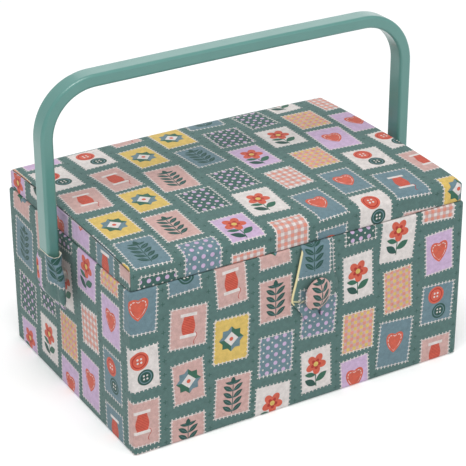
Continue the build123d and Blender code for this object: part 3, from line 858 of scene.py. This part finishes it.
ivory = srgb(240, 233, 220)
ivory_shade = srgb(226, 217, 200)
lining_wall = lining_on_solid()
finish_node("wall_lining", lining_wall)
finish_node("tray_ledges", lining_wall)
lining_cotton = plain_cotton("lining_cotton", ivory, ivory_shade, 0.6, 0.8, 0.1)
floor_low, floor_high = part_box("floor_pad")
floor_cushion = ring_slab(
    "floor_cushion", slab_columns, floor_low, floor_high - Vector((0, 0, 0.6 * mm)), 2 * mm,
    0.2 * mm, 1.5 * mm, (0, 1.0 * mm), lining_cotton,
)
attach(floor_cushion, "box")
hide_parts("floor_pad")

# Tray: one injection-moulded pan in pale polypropylene that hangs on the ledges by its
# rim. It lifts straight out.


def grain_group():
    """Moulded surface: a fine orange peel and long faint rubs. Place is in metres."""
    tree, start, end = new_group(
        "moulded_grain",
        (("Place", "NodeSocketVector", None),),
        (("Height", "NodeSocketFloat"), ("Rub", "NodeSocketFloat")),
    )
    place = start.outputs["Place"]
    feed(tree, noise(tree, place, 1400, 2.0), end.inputs["Height"])
    feed(tree, noise(tree, place, 45, 4.0), end.inputs["Rub"])
    return tree


moulded_grain = grain_group()


def moulded_plastic(name, colour, deeper, smooth, rough):
    """Moulded plastic: colour a little uneven, roughness between smooth and rough."""
    material, tree = new_material(name, smooth)
    grain = add_group(tree, moulded_grain, solid_place(tree))
    rub = Field(tree, grain["Rub"])
    tone = mix_colour(tree, rub, colour, deeper)
    shader = dress(material, tone, grain["Height"], 0.01 * mm, 0.5)
    feed(tree, rub * (rough - smooth) + smooth, shader["Roughness"])
    return material


tray_white = srgb(232, 234, 230)
tray_shade = srgb(226, 228, 223)
finish_node("tray", moulded_plastic("tray_plastic", tray_white, tray_shade, 0.3, 0.5))

# Handle: one bent strap of satin green plastic, moulded in one piece, with its corners
# rounded and its bar slightly arched. Its ends turn on rivets inside the cloth pockets.
handle_green = srgb(86, 139, 132)
handle_shade = srgb(81, 132, 125)
handle_plastic = moulded_plastic("handle_plastic", handle_green, handle_shade, 0.3, 0.42)
handle_skin = shader_of(handle_plastic)
handle_skin["Coat Weight"].default_value = 0.55
handle_skin["Coat Roughness"].default_value = 0.16
finish_node("handle", handle_plastic)

# Rivets, spacers and washers: nickel-plated steel, lightly brushed. A rivet goes through
# each end of the handle and the wall, with a spacer outside the wall and a washer inside.
# The button's back plate is plated too.


def plated_steel_material():
    """Nickel plate with fine brushing and a few dull spots."""
    material, tree = new_material("plated_steel", 0.3)
    stretched = add_node(tree, "Mapping", {0: solid_place(tree), "Scale": (3000, 3000, 200)})
    brushed = noise(tree, stretched.outputs[0], 1.0, 3.0)
    colour = mix_colour(tree, brushed, srgb(190, 188, 182), srgb(222, 220, 214))
    shader = dress(material, colour, brushed, 0.01 * mm)
    feed(tree, brushed * 0.25 + 0.2, shader["Roughness"])
    shader["Metallic"].default_value = 1.0
    return material


plated_steel = plated_steel_material()
for name in ("pivot_rivets", "pivot_spacers", "pivot_washers", "button_back"):
    finish_node(name, plated_steel)

# Handle pockets: a folded piece of the printed cloth sewn shut below and at the sides,
# pulled over each end of the handle. Its mouth is hemmed, and the hem shows cream.
pocket_cotton = printed_cotton("pocket_cotton", (24.0, -82.0))
overlay(pocket_cotton, stored(pocket_cotton, "hem"), srgb(222, 214, 196))
tab_columns = ring_columns(8, 26, 12)
tab_shares = (0, 0.03, 0.08, 0.15, 0.21, 0.50, 0.66, 0.78, 0.88, 0.95, 1)
tab_half_widths = (24.6, 24.8, 24.8, 24.8, 24.7, 24.4, 23.4, 21.2, 17.6, 14.2, 11.9)
tab_half_thicknesses = (0.7, 1.7, 3.2, 4.8, 5.8, 6.0, 6.0, 6.0, 6.05, 6.15, 6.2)
leg_reach = 9 * mm
side_fall = 9 * mm
tab_drop = 2.4 * mm
lip_round = 0.5 * mm
lip_depth = 9 * mm
mouth_reach = 9 * mm
mouth_dip = 1.6 * mm
mouth_lean = 2.2 * mm
for side, node in ((-1, "left_tab"), (1, "right_tab")):
    tab_low, tab_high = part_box(node)
    middle = (tab_low + tab_high) / 2
    share = np.concatenate((np.linspace(0, 0.08, 6)[:-1], np.linspace(0.08, 1, 30)))
    half_w = np.interp(share, tab_shares, tab_half_widths) * mm
    half_t = np.interp(share, tab_shares, tab_half_thicknesses) * mm
    turn = np.linspace(0, pi, 7)[1:]
    draw_in = np.r_[lip_round * (1 - np.cos(turn)), np.full(3, 2.2 * lip_round)]
    half_w = np.append(half_w, half_w[-1] - draw_in)
    half_t = np.append(half_t, half_t[-1] - draw_in)
    rise = np.r_[lip_round * np.sin(turn), -lip_depth * np.array((0.2, 0.5, 1.0))]
    tall = tab_high.z - tab_low.z - 2 * lip_round + tab_drop
    z = tab_low.z - tab_drop + np.append(share * tall, tall + rise)
    x, y = rings(tab_columns, half_t, half_w, np.maximum(half_t * 0.75, 0.2 * mm))
    beside = np.clip((abs(y) - leg_reach) / side_fall, 0, 1)
    x = x * (1 - 0.55 * beside**2 * (3 - 2 * beside))
    around = run_length(grid(x, y)[12], 0)
    near_mouth = np.clip(1 + (z - z[-10]) / mouth_reach, 0, 1)[:, None] ** 2
    dip = mouth_dip * np.sin(tab_columns[1]) ** 4 * near_mouth
    z = z[:, None] - dip
    crumple = np.sin(around * 620 + 5) * np.sin(z * 300 + around * 160)
    pull = 0.22 * mm * crumple * (1 - near_mouth)
    x = x + pull * np.cos(tab_columns[1])
    y = y + pull * np.sin(tab_columns[1]) - mouth_lean * near_mouth
    tab_points = grid(x + middle.x, y + middle.y, z)
    tab_uv = grid(around * side, z)
    handle_pocket = surface(
        node + "_cloth", tab_points, tab_uv, pocket_cotton, poles=(True, False)
    )
    hem = np.zeros(x[:, :-1].shape)
    hem[len(share) + 1 :] = 1
    mark(handle_pocket, "hem", np.append(hem, 0))
    thicken(handle_pocket, 0.4 * mm)
    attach(handle_pocket, "handle_bail")
    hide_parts(node)

# Lid cover: printed cloth over the foam, in one piece over the top, front and back. At
# the two short sides it is folded on the edge and a separate band covers the rim, so a
# fine seam runs along each short edge. Below, it goes under the rim and up inside.
lid_low, lid_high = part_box("lid_cover")
lid_x, lid_y = lid_high.x, lid_high.y
crown_across = 1.6 * mm
crown_deep = 3.2 * mm
edge_top = lid_high.z - crown_across - crown_deep
lid_corner = 2.8 * mm
shoulder_side = 3.2 * mm
shoulder_front = 9.0 * mm
fall_side = 2.6 * mm
fall_front = 4.6 * mm
lid_foot = 0.5 * mm
rim_inset = lid_high.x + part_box("lid_left_rim")[1].x + cloth
hem_rows = 7
side_rows = 7
shoulder_turn = np.radians((0, 8, 14, 20, 27, 34, 42, 52, 64, 78, 90))
shoulder_row = hem_rows + side_rows
seam_row = shoulder_row + 4
top_row = shoulder_row + len(shoulder_turn) - 1
lid_columns = ring_columns(96, 68, 12)


def crown(x, y):
    """The padded top's height: a parabola both ways, 0 high at the corners."""
    return edge_top + crown_across * (1 - (x / lid_x) ** 2) + crown_deep * (1 - (y / lid_y) ** 2)


def lid_top_rings(inset, tuck):
    """Rings of the lid's outside from the foot of its side to the middle of its top. The
    side is upright, the shoulder a quarter of a superellipse, longer at the front and
    back than at the sides, and the top a scaled copy of the shoulder's last ring."""
    facing = np.cos(lid_columns[1]) ** 2
    fall = fall_side * facing + fall_front * (1 - facing)
    side = np.linspace(0, 1, side_rows + 1)[:-1, None]
    round_in = np.r_[np.zeros(side_rows), 1 - np.cos(shoulder_turn)]
    shrink = 1 - np.linspace(0, 1, 31)[1:-1] ** 0.85
    half_x = lid_x - inset - shoulder_side * round_in
    half_y = lid_y - inset - shoulder_front * round_in
    radius = lid_corner - inset + 1.5 * mm * round_in
    half_x, half_y, radius = (
        np.r_[size, size[-1] * shrink] for size in (half_x, half_y, radius)
    )
    x, y = rings(lid_columns, half_x, half_y, radius)
    high = crown(x, y) - inset
    shoulder = slice(side_rows, side_rows + len(shoulder_turn))
    high[shoulder] -= (fall - inset) * (1 - np.sin(shoulder_turn))[:, None]
    low = lid_low.z + lid_foot
    high[:side_rows] = low + side * (high[side_rows] - low)
    groove = np.zeros((len(half_x), 1))
    seam = seam_row - hem_rows
    groove[seam - 2 : seam + 3, 0] = (0.2, 0.75, 1.0, 0.75, 0.2)
    depth = tuck * groove * facing**3
    return x - depth * np.cos(lid_columns[1]), y, high - 0.6 * depth


def bell(distance, width=1.0):
    """1 at no distance, falling off both ways by a Gauss curve that wide."""
    return np.exp(-((distance / width) ** 2))


top_x, top_y, top_z = lid_top_rings(0, 1.5 * mm)
lip_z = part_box("lid_lining")[0].z - 0.8 * mm
hem_z = np.r_[np.linspace(lip_z, lid_low.z + lid_foot, 5), lid_low.z, lid_low.z]
hem_inset = np.r_[np.full(5, rim_inset), rim_inset - lid_foot, lid_foot]
hem_radius = np.maximum(lid_corner - hem_inset, 0.4 * mm)
hem_x, hem_y = rings(lid_columns, lid_x - hem_inset, lid_y - hem_inset, hem_radius)
x = np.concatenate((hem_x, top_x))
y = np.concatenate((hem_y, top_y))
z = np.concatenate((hem_z[:, None] + 0 * hem_x, top_z))
lid_points = grid(x, y, z)
lid_run = run_length(grid(x, y)[10], 0)
drop = run_length(lid_points, 0)
drop = np.maximum(drop[top_row] - drop, 0)
row = np.arange(len(x))[:, None]
pleat = 0.35 * mm * np.sin(lid_run * 75 + 1.0) * np.sin(lid_run * 31 + drop * 90)
lid_corners = np.append(0, np.nonzero(np.diff(lid_columns[2]))[0] + 1)
past = np.arange(x.shape[1])[:, None] - lid_corners
tuck_fold = 0.5 * bell(past - 1.4) - 0.4 * bell(past + 0.4, 0.7)
below_seam = np.clip((seam_row + 1 - row) / 4, 0, 1)
stand = 0.35 * pleat * bell(row - shoulder_row, 6.0) + tuck_fold.sum(1) * mm * below_seam
lid_points[..., 0] += stand * np.cos(lid_columns[1])
lid_points[..., 1] += stand * np.sin(lid_columns[1])
# Painted shade: how dark the cloth is painted along the seam groove on the short edges and in
# the tuck folds at the lower corners.
painted_seam_shade = bell(row - seam_row, 1.5) * np.cos(lid_columns[1]) ** 4
painted_corner_shade = bell(past + 0.4, 0.7).sum(1) * (below_seam > 0.3)
painted_lid_shade = np.maximum(painted_seam_shade, 0.8 * painted_corner_shade)


def lid_cloth_map():
    """Where each corner of each face lies on the flat cloth. On the top it is seen from
    above. The front and back carry on down from the top's edge, and the bands on the
    short sides are mapped by the run round the lid and the drop, set off from the top."""
    side = row < top_row
    front, back = (grid(x, np.where(side, y[top_row] + way * drop, y)) for way in (-1, 1))
    left, right = (grid(np.where(side, x[top_row] + way * drop, x), y) for way in (-1, 1))
    band = grid(lid_run + 0.013, 0.037 - drop)
    wall = lid_columns[2][:, None, None]
    low = row[:-1, :, None, None] < seam_row
    uv = np.where(wall == 1, face_corners(front), face_corners(back))
    uv = np.where(wall == 0, face_corners(left), uv)
    uv = np.where(wall == 2, face_corners(right), uv)
    return np.where(low & (wall % 2 == 0), face_corners(band), uv)


lid_cotton = printed_cotton("lid_cotton", (-9.0, 14.0))
lid_cloth = surface(
    "lid_cloth", lid_points, lid_cloth_map(), lid_cotton, poles=(False, True)
)
# Stores the painted shade of the seam groove and the corner folds for the cloth's material.
mark(lid_cloth, "crease_shade", np.append(painted_lid_shade[:, :-1], 0))
thicken(lid_cloth, 0.5 * mm)
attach(lid_cloth, "lid")
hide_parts("lid_cover")

# Lid pad: soft foam glued on the top board, crowned both ways and rounded over at the
# edges. The cover pulls it down all round.
foam_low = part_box("lid_foam")[0].z
foam_x, foam_y, foam_z = (part[side_rows:] for part in lid_top_rings(cloth, 1.5 * mm))
foam_z = np.maximum(foam_z, foam_low + 0.05 * mm)
under = np.linspace(0.05, 1, 8)[:-1, None]
foam_points = grid(
    np.concatenate((under * foam_x[0], foam_x)),
    np.concatenate((under * foam_y[0], foam_y)),
    np.concatenate((foam_low + 0 * under * foam_x[0], foam_z)),
)
lid_pad = surface(
    "lid_pad", foam_points, foam_points[..., :2], wadding, poles=(True, True)
)
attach(lid_pad, "lid")
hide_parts("lid_foam")

# Inside of the lid: a thin padded card wrapped in the ivory lining cotton. It is glued up
# under the lid's board, between the rims.
lining_low, lining_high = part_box("lid_lining")
lid_panel = ring_slab(
    "lid_panel", slab_columns, lining_low, lining_high, 1.5 * mm,
    0.8 * mm, 0.2 * mm, (0.25 * mm, 0), lining_cotton,
)
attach(lid_panel, "lid")
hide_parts("lid_lining")

# Pincushion: a stuffed pad of coral cotton with small cream dots, sewn to the lining
# round its edge. Short gathers run in from the seam, and a stitch at its middle pulls
# the stuffing down with folds all round.


def dotted_cotton(name):
    """Coral cotton with small cream dots in staggered rows."""
    material = plain_cotton(name, srgb(208, 112, 92), srgb(196, 98, 80), 0.6, 0.85, 0.2)
    tree = material.node_tree
    x, y, _ = split_vector(tree, cloth_place(tree))
    even = length(x.centred(8.0), y.centred(8.0))
    odd = length((x + 4.0).centred(8.0), (y + 4.0).centred(8.0))
    overlay(material, (even.least(odd) - 0.9).edge() * 0.9, cream_print)
    return material


pad_cotton = dotted_cotton("pad_cotton")
cushion_low, cushion_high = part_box("pincushion")
cushion_columns = ring_columns(40, 28, 14)
gathers = 46
fill = np.linspace(0, 1, 40)
edge_share = 0.4
edge_tall = 0.42
seam_draw = 0.06
at_edge = fill < edge_share
rise = fill / edge_share
inward = (fill - edge_share) / (1 - edge_share) * pi / 2
reach = np.where(at_edge, 1 - seam_draw * (1 - np.sin(rise * pi / 2)), np.cos(inward))
reach = np.maximum(reach, 0.02)
depth = np.where(at_edge, edge_tall * rise, edge_tall + (1 - edge_tall) * np.sin(inward))
shape_x, shape_y = rings(
    cushion_columns,
    (cushion_high.x - cushion_low.x) / 2 * reach,
    (cushion_high.y - cushion_low.y) / 2 * reach,
    (10 * mm + 14 * mm * fill) * reach,
)
around = run_length(grid(shape_x, shape_y)[14], 0)
from_middle = 1 - fill[:, None]
gather = np.sin(around * 2 * pi / around[-1] * gathers) * bell(from_middle - 0.7, 0.22)
tuft = bell(from_middle, 0.13)
tuft_folds = np.cos(cushion_columns[1] * 9) * bell(from_middle - 0.2, 0.14)
tall = cushion_high.z - cushion_low.z
shape_z = cushion_high.z - depth[:, None] * tall + 0.36 * tall * tuft
shape_z = shape_z + 0.45 * mm * gather + 0.4 * mm * tuft_folds
cushion_points = grid(
    shape_x + (cushion_low.x + cushion_high.x) / 2,
    shape_y + (cushion_low.y + cushion_high.y) / 2,
    shape_z,
)
pincushion_pad = surface(
    "pincushion_pad", cushion_points, cushion_points[..., :2], pad_cotton,
    poles=(True, True), flip=True,
)
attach(pincushion_pad, "lid")
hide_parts("pincushion")

# Lid pocket: lining cotton gathered into soft pleats on an elastic at its mouth, sewn
# flat to the lid's panel on the other three sides.
pocket_low, pocket_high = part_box("lid_pocket")
elastic_low, elastic_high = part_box("pocket_elastic")
pleats = 9
along = np.linspace(0, 1, 181)
deep = np.linspace(0, 1, 61)[:, None]
mouth_y = elastic_low.y + 1 * mm
open_share = np.minimum(np.minimum(along, 1 - along) * 14, 1) * np.minimum((1 - deep) * 9, 1)
swing = abs(np.sin(pi * pleats * along + 0.5 * np.sin(3 * deep + 8 * along) * deep)) ** 0.8
slack = 1.6 + 1.4 * np.sin(pi * np.clip(deep * 1.1, 0, 1)) + 2.0 * swing * (1 - 0.55 * deep)
mouth_slack = (pocket_high.z - elastic_low.z) / mm - 1.2 + 0.2 * swing
at_mouth = np.clip(1.6 - deep / 0.055, 0, 1)
slack = slack + (mouth_slack - slack) * at_mouth
pocket_points = grid(
    pocket_low.x + along * (pocket_high.x - pocket_low.x),
    mouth_y + deep * (pocket_high.y - mouth_y),
    pocket_high.z - 0.15 * mm - np.sqrt(open_share) * slack * mm,
)
pocket_uv = grid(along * 0.19, deep * 0.13)
pocket_cloth = surface(
    "pocket_cloth", pocket_points, pocket_uv, lining_cotton, flip=True, wrap=False
)
thicken(pocket_cloth, 0.4 * mm)
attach(pocket_cloth, "lid")
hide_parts("lid_pocket")

# Pocket elastic: flat white braid in a casing across the pocket's mouth, tacked to the
# lining at both ends. Its own pull puckers it.


def elastic_material():
    """White braided elastic: ribs along it, with painted shade between the ribs."""
    material, tree = new_material("elastic", 0.7)
    _, y, _ = split_vector(tree, cloth_place(tree))
    ribs = abs((y * pi / 1.1).sine())
    # Painted shade: darker between the ribs, lighter on their crowns.
    colour = mix_colour(tree, ribs, srgb(205, 198, 186), srgb(240, 236, 228))
    dress(material, colour, ribs, 0.25 * mm)
    return material


def blunt(wave, power=0.5):
    """A sine or cosine made squarer by a power, with its sign kept: part of a
    superellipse round a flat strip."""
    return np.sign(wave) * abs(wave) ** power


band = np.linspace(0, 1, 241)[:, None]
turn = np.linspace(0, 2 * pi, 25)
band_y = (elastic_low.y + elastic_high.y) / 2
band_half = (elastic_high.y - elastic_low.y) / 2
band_z = elastic_low.z + 0.8 * mm
band_thick = 1.2 * mm
from_end = np.minimum(band, 1 - band)
pucker = 0.2 * mm * np.sin(band * 2 * pi * pleats * 3) * np.minimum(from_end * 20, 1)
end_rise = 1.5 * mm * (1 - np.minimum(from_end * 18, 1))
band_points = grid(
    elastic_low.x + band * (elastic_high.x - elastic_low.x),
    band_y + band_half * blunt(np.cos(turn)),
    band_z + end_rise + pucker + band_thick / 2 * blunt(np.sin(turn)),
)
band_uv = grid(band * 0.132, np.cos(turn) * 4 * mm)
elastic_band = surface(
    "elastic_band", band_points, band_uv, elastic_material(), poles=(True, True)
)
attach(elastic_band, "lid")
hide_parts("pocket_elastic")

# Hinge: a strip of the printed cloth glued over the joint at the back, half on the body
# and half on the lid.
strip_low, strip_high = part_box("hinge_strip")
strip_thick = 0.6 * mm
lid_back = lid_high.y
way = np.array(
    (
        (body_y, strip_low.z),
        (body_y, body_top - 4 * mm),
        (body_y, body_top - 1.2 * mm),
        (body_y - 0.1 * mm, body_top),
        (body_y - 0.8 * mm, body_top + 1.0 * mm),
        (lid_back, body_top + 2.4 * mm),
        (lid_back, body_top + 5 * mm),
        (lid_back, strip_high.z),
    )
)
way_run = run_length(way, 0)
rows = np.r_[
    np.linspace(0, way_run[1], 12)[:-1],
    np.linspace(way_run[1], way_run[6], 25),
    np.linspace(way_run[6], way_run[-1], 8)[1:],
]
strip_y = np.interp(rows, way_run, way[:, 0])
strip_z = np.interp(rows, way_run, way[:, 1])
smooth = np.array((1, 2, 3, 2, 1)) / 9
strip_y[2:-2] = np.convolve(strip_y, smooth, "valid")
strip_x = np.linspace(strip_low.x, strip_high.x, 81)[:, None]
outer = grid(strip_x, strip_y + strip_thick, strip_z)
inner = outer[:, ::-1] - np.array((0, strip_thick - 0.05 * mm, 0))
strip_points = np.concatenate((outer, inner, outer[:, :1]), 1)
strip_uv = grid(-strip_points[..., 0], np.r_[rows, rows[::-1], rows[0]])
hinge_cloth = surface(
    "hinge_cloth", strip_points, strip_uv, body_cotton, poles=(True, True)
)
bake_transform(hinge_cloth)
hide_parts("hinge_strip")

# Button: printed cloth gathered over a metal dome and shut by a pressed back plate. It
# is sewn on with thread, stands off the wall and is turned a little by the loop.
shell_low, shell_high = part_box("button_shell")
button_radius = (shell_high.z - shell_low.z) / 2 - 0.5 * mm
button_turn = radians(12)
button_normal = np.array((sin(button_turn), -cos(button_turn), 0))
button_level = np.array((cos(button_turn), sin(button_turn), 0))
button_edge = 2.4 * mm
button_dome = 4.4 * mm
edge_round = 1.1 * mm
button_centre = np.array((8 * mm, -body_y - 6 * mm, (shell_low.z + shell_high.z) / 2))
dome_radius = (button_radius**2 + button_dome**2) / (2 * button_dome)
dome_reach = np.arcsin(button_radius / dome_radius)
arc = np.linspace(0.03, 1, 14) * dome_reach
edge_turn = np.linspace(0, pi / 2, 6)[1:]
away = np.r_[
    dome_radius * np.sin(arc) * (1 - 0.4 * mm / button_radius),
    button_radius,
    button_radius,
    button_radius - edge_round * (1 - np.cos(edge_turn)),
    button_radius - 1.8 * mm,
    button_radius - 2.4 * mm,
]
out = np.r_[
    button_edge + button_dome - dome_radius * (1 - np.cos(arc)),
    button_edge - 0.5 * mm,
    edge_round,
    edge_round * (1 - np.sin(edge_turn)),
    0,
    0.3 * mm,
]
clock = np.linspace(0, 2 * pi, 97)
puckers = np.interp(away, (0.8 * button_radius, button_radius), (0, 1))
under_rim = np.where(np.arange(len(away)) > 15, 1.0, 0.35)
ripple = 0.16 * mm * (puckers * under_rim)[:, None] * np.sin(clock * 22 + 2 * np.sin(clock * 3))
reach_out = away[:, None] + ripple
button_points = (
    button_centre
    + (reach_out * np.cos(clock))[..., None] * button_level
    + (reach_out * np.sin(clock))[..., None] * np.array((0, 0, 1))
    + out[:, None, None] * button_normal
)
cap_run = run_length(grid(away, out), 0)[:, None]
button_uv = grid(cap_run * np.cos(clock), cap_run * np.sin(clock))
button_cotton = printed_cotton("button_cotton", (349.4, 129.3))
button_cap = surface(
    "button_cap", button_points, button_uv, button_cotton, poles=(True, False), flip=True
)
thicken(button_cap, 0.4 * mm)
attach(button_cap, "box")
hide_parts("button_shell")

# Button thread: waxed cream cotton thread, twisted. It holds the button off the wall, and
# goes through the wall to a knot inside.


def thread_material():
    """Waxed cotton thread, twisted, with painted shade in the grooves of its twist."""
    material, tree = new_material("thread", 0.6)
    _, y, z = split_vector(tree, solid_place(tree))
    twist = abs(((y * 1400.0 + z * 2200.0) * pi).sine())
    # Painted shade: darker in the twist's grooves, lighter on its crowns.
    colour = mix_colour(tree, twist, srgb(205, 192, 168), srgb(238, 230, 212))
    dress(material, colour, twist, 0.2 * mm)
    return material


finish_node("button_thread", thread_material())

# Closure loop: a strap of the printed cloth, folded in four and pressed, with a slit
# that the button goes through. Its sides part round the button and meet in a mitred
# tip, and its root is glued under the lid's edge. One folded edge shows pale yellow:
# partly the cloth's own pale edge, partly a painted highlight on the fold. A line of
# painted shade runs below the end of the left arm.
loop_cotton = printed_cotton("loop_cotton", (177.3, 190.7))
# Pale yellow on the folded edges: partly the cloth's own pale edge, partly a painted highlight.
overlay(loop_cotton, stored(loop_cotton, "fold_edge_and_highlight"), srgb(228, 216, 168))
loop_bend = 146.0
root_in = -5.2
outer_edge = np.array(
    (
        (10, root_in), (-4.2, root_in), (-4.3, 0), (-6.4, 9), (-8.8, 19), (-14.2, 40),
        (-14.4, 45), (-12.0, 48.7), (-6.0, 56), (0.5, 66.5), (4, 69.3), (12.0, 69.5),
        (14.8, 67.5), (20.5, 55), (25.5, 47.5), (30.4, 43), (30.8, 38), (28.8, 32.5),
        (25.2, 24), (24.6, 10), (24.6, 0), (24.8, root_in),
    )
)
slit_edge = np.array(
    (
        (8.6, 31.5), (8.2, 31.6), (7.6, 32), (6.8, 32.8), (5.6, 34.2), (3.6, 38),
        (3.2, 41), (3.4, 44), (5.6, 49), (9.6, 56), (12.9, 63), (14.0, 64.6),
        (14.7, 63), (14.6, 56), (14.0, 49), (13.6, 44), (13.4, 41), (12.8, 38),
        (11.2, 34.2), (10.2, 32.8), (9.6, 32), (9.0, 31.6),
    )
)


def rounded_outline(corners, per_side, passes):
    """A closed outline: as many points on each side of a polygon, then averaged with
    their neighbours a few times, which rounds its corners."""
    share = np.arange(per_side)[:, None] / per_side
    line = corners[:, None] + share * (np.roll(corners, -1, 0) - corners)[:, None]
    line = line.reshape(-1, 2)
    for _ in range(passes):
        line = (np.roll(line, 1, 0) + 2 * line + np.roll(line, -1, 0)) / 4
    return np.append(line, line[:1], 0)


outer_line = rounded_outline(outer_edge, 9, 10)
slit_line = rounded_outline(slit_edge, 9, 10)
turn = np.linspace(0, 2 * pi, 41)[:, None]
across = blunt(np.cos(turn))
through = blunt(np.sin(turn), 0.55)
share = (1 + across) / 2
flat = slit_line * (1 - share[..., None]) + outer_line * share[..., None]
flat_x, flat_y = flat[..., 0], flat[..., 1]
down = flat_y * mm
way = mm * np.array(
    (
        (root_in, 110.9, 148.78), (-3.9, 112.2, 148.76), (-2.8, 113.1, 148.45),
        (-1.5, 113.9, 147.5), (0, 114.8, loop_bend), (80, 114.8, 66.0),
    )
)
way_down = np.linspace(way[0, 0], way[-1, 0], 400)
way_out = np.interp(way_down, way[:, 0], way[:, 1])
way_z = np.interp(way_down, way[:, 0], way[:, 2])
soften = np.ones(9) / 9
way_out[4:-4] = np.convolve(way_out, soften, "valid")
slope_out, slope_z = np.gradient(way_out, way_down), np.gradient(way_z, way_down)
steep = np.hypot(slope_out, slope_z)
out_share = np.interp(down, way_down, -slope_z / steep)
up_share = np.interp(down, way_down, slope_out / steep)
thick_down = mm * np.array((root_in, -3, 0, 4, 47, 50, 66, 70))
loop_thick = np.interp(down, thick_down, mm * np.array((0.3, 0.7, 1.9, 2.8, 2.8, 2.2, 2.0, 1.6)))
bulge = 2.3 * mm * np.sin(pi * np.clip(down / (62 * mm), 0, 1)) ** 2 * (1 - 0.6 * share)
pressed = 1 - 0.13 * np.cos(across * 2 * pi)
skin = through * pressed * loop_thick / 2
loop_points = grid(
    flat_x * mm,
    -np.interp(down, way_down, way_out) - bulge - out_share * skin,
    np.interp(down, way_down, way_z) + up_share * skin,
)
loop_uv = grid(flat_x * mm, loop_bend * mm - down)
loop_cloth = surface("loop_cloth", loop_points, loop_uv, loop_cotton, ring=True, flip=True)
# Where the pale yellow goes: the left folded edge and a line across the end of the left arm,
# partly the edge's own colour, partly a painted highlight.
left_side = (outer_line[:, 0] < -3) * (outer_line[:, 1] > 0) * (outer_line[:, 1] < 48)
on_edge = np.clip((across - 0.84) * 12, 0, 1)
end_line = flat_y - 44.5 - 0.25 * (flat_x + 14)
left_half = (flat_x < 5) * (through > 0)
fold_edge_and_highlight = np.maximum(on_edge * left_side, bell(end_line + 0.7, 0.55) * left_half)
mark(loop_cloth, "fold_edge_and_highlight", fold_edge_and_highlight[:-1, :-1])
# Painted shade: a dark line just below the pale line at the end of the left arm, where the
# folded end steps down.
mark(loop_cloth, "crease_shade", (bell(end_line - 0.6, 0.6) * left_half)[:-1, :-1])
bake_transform(loop_cloth)
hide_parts("closure_loop")
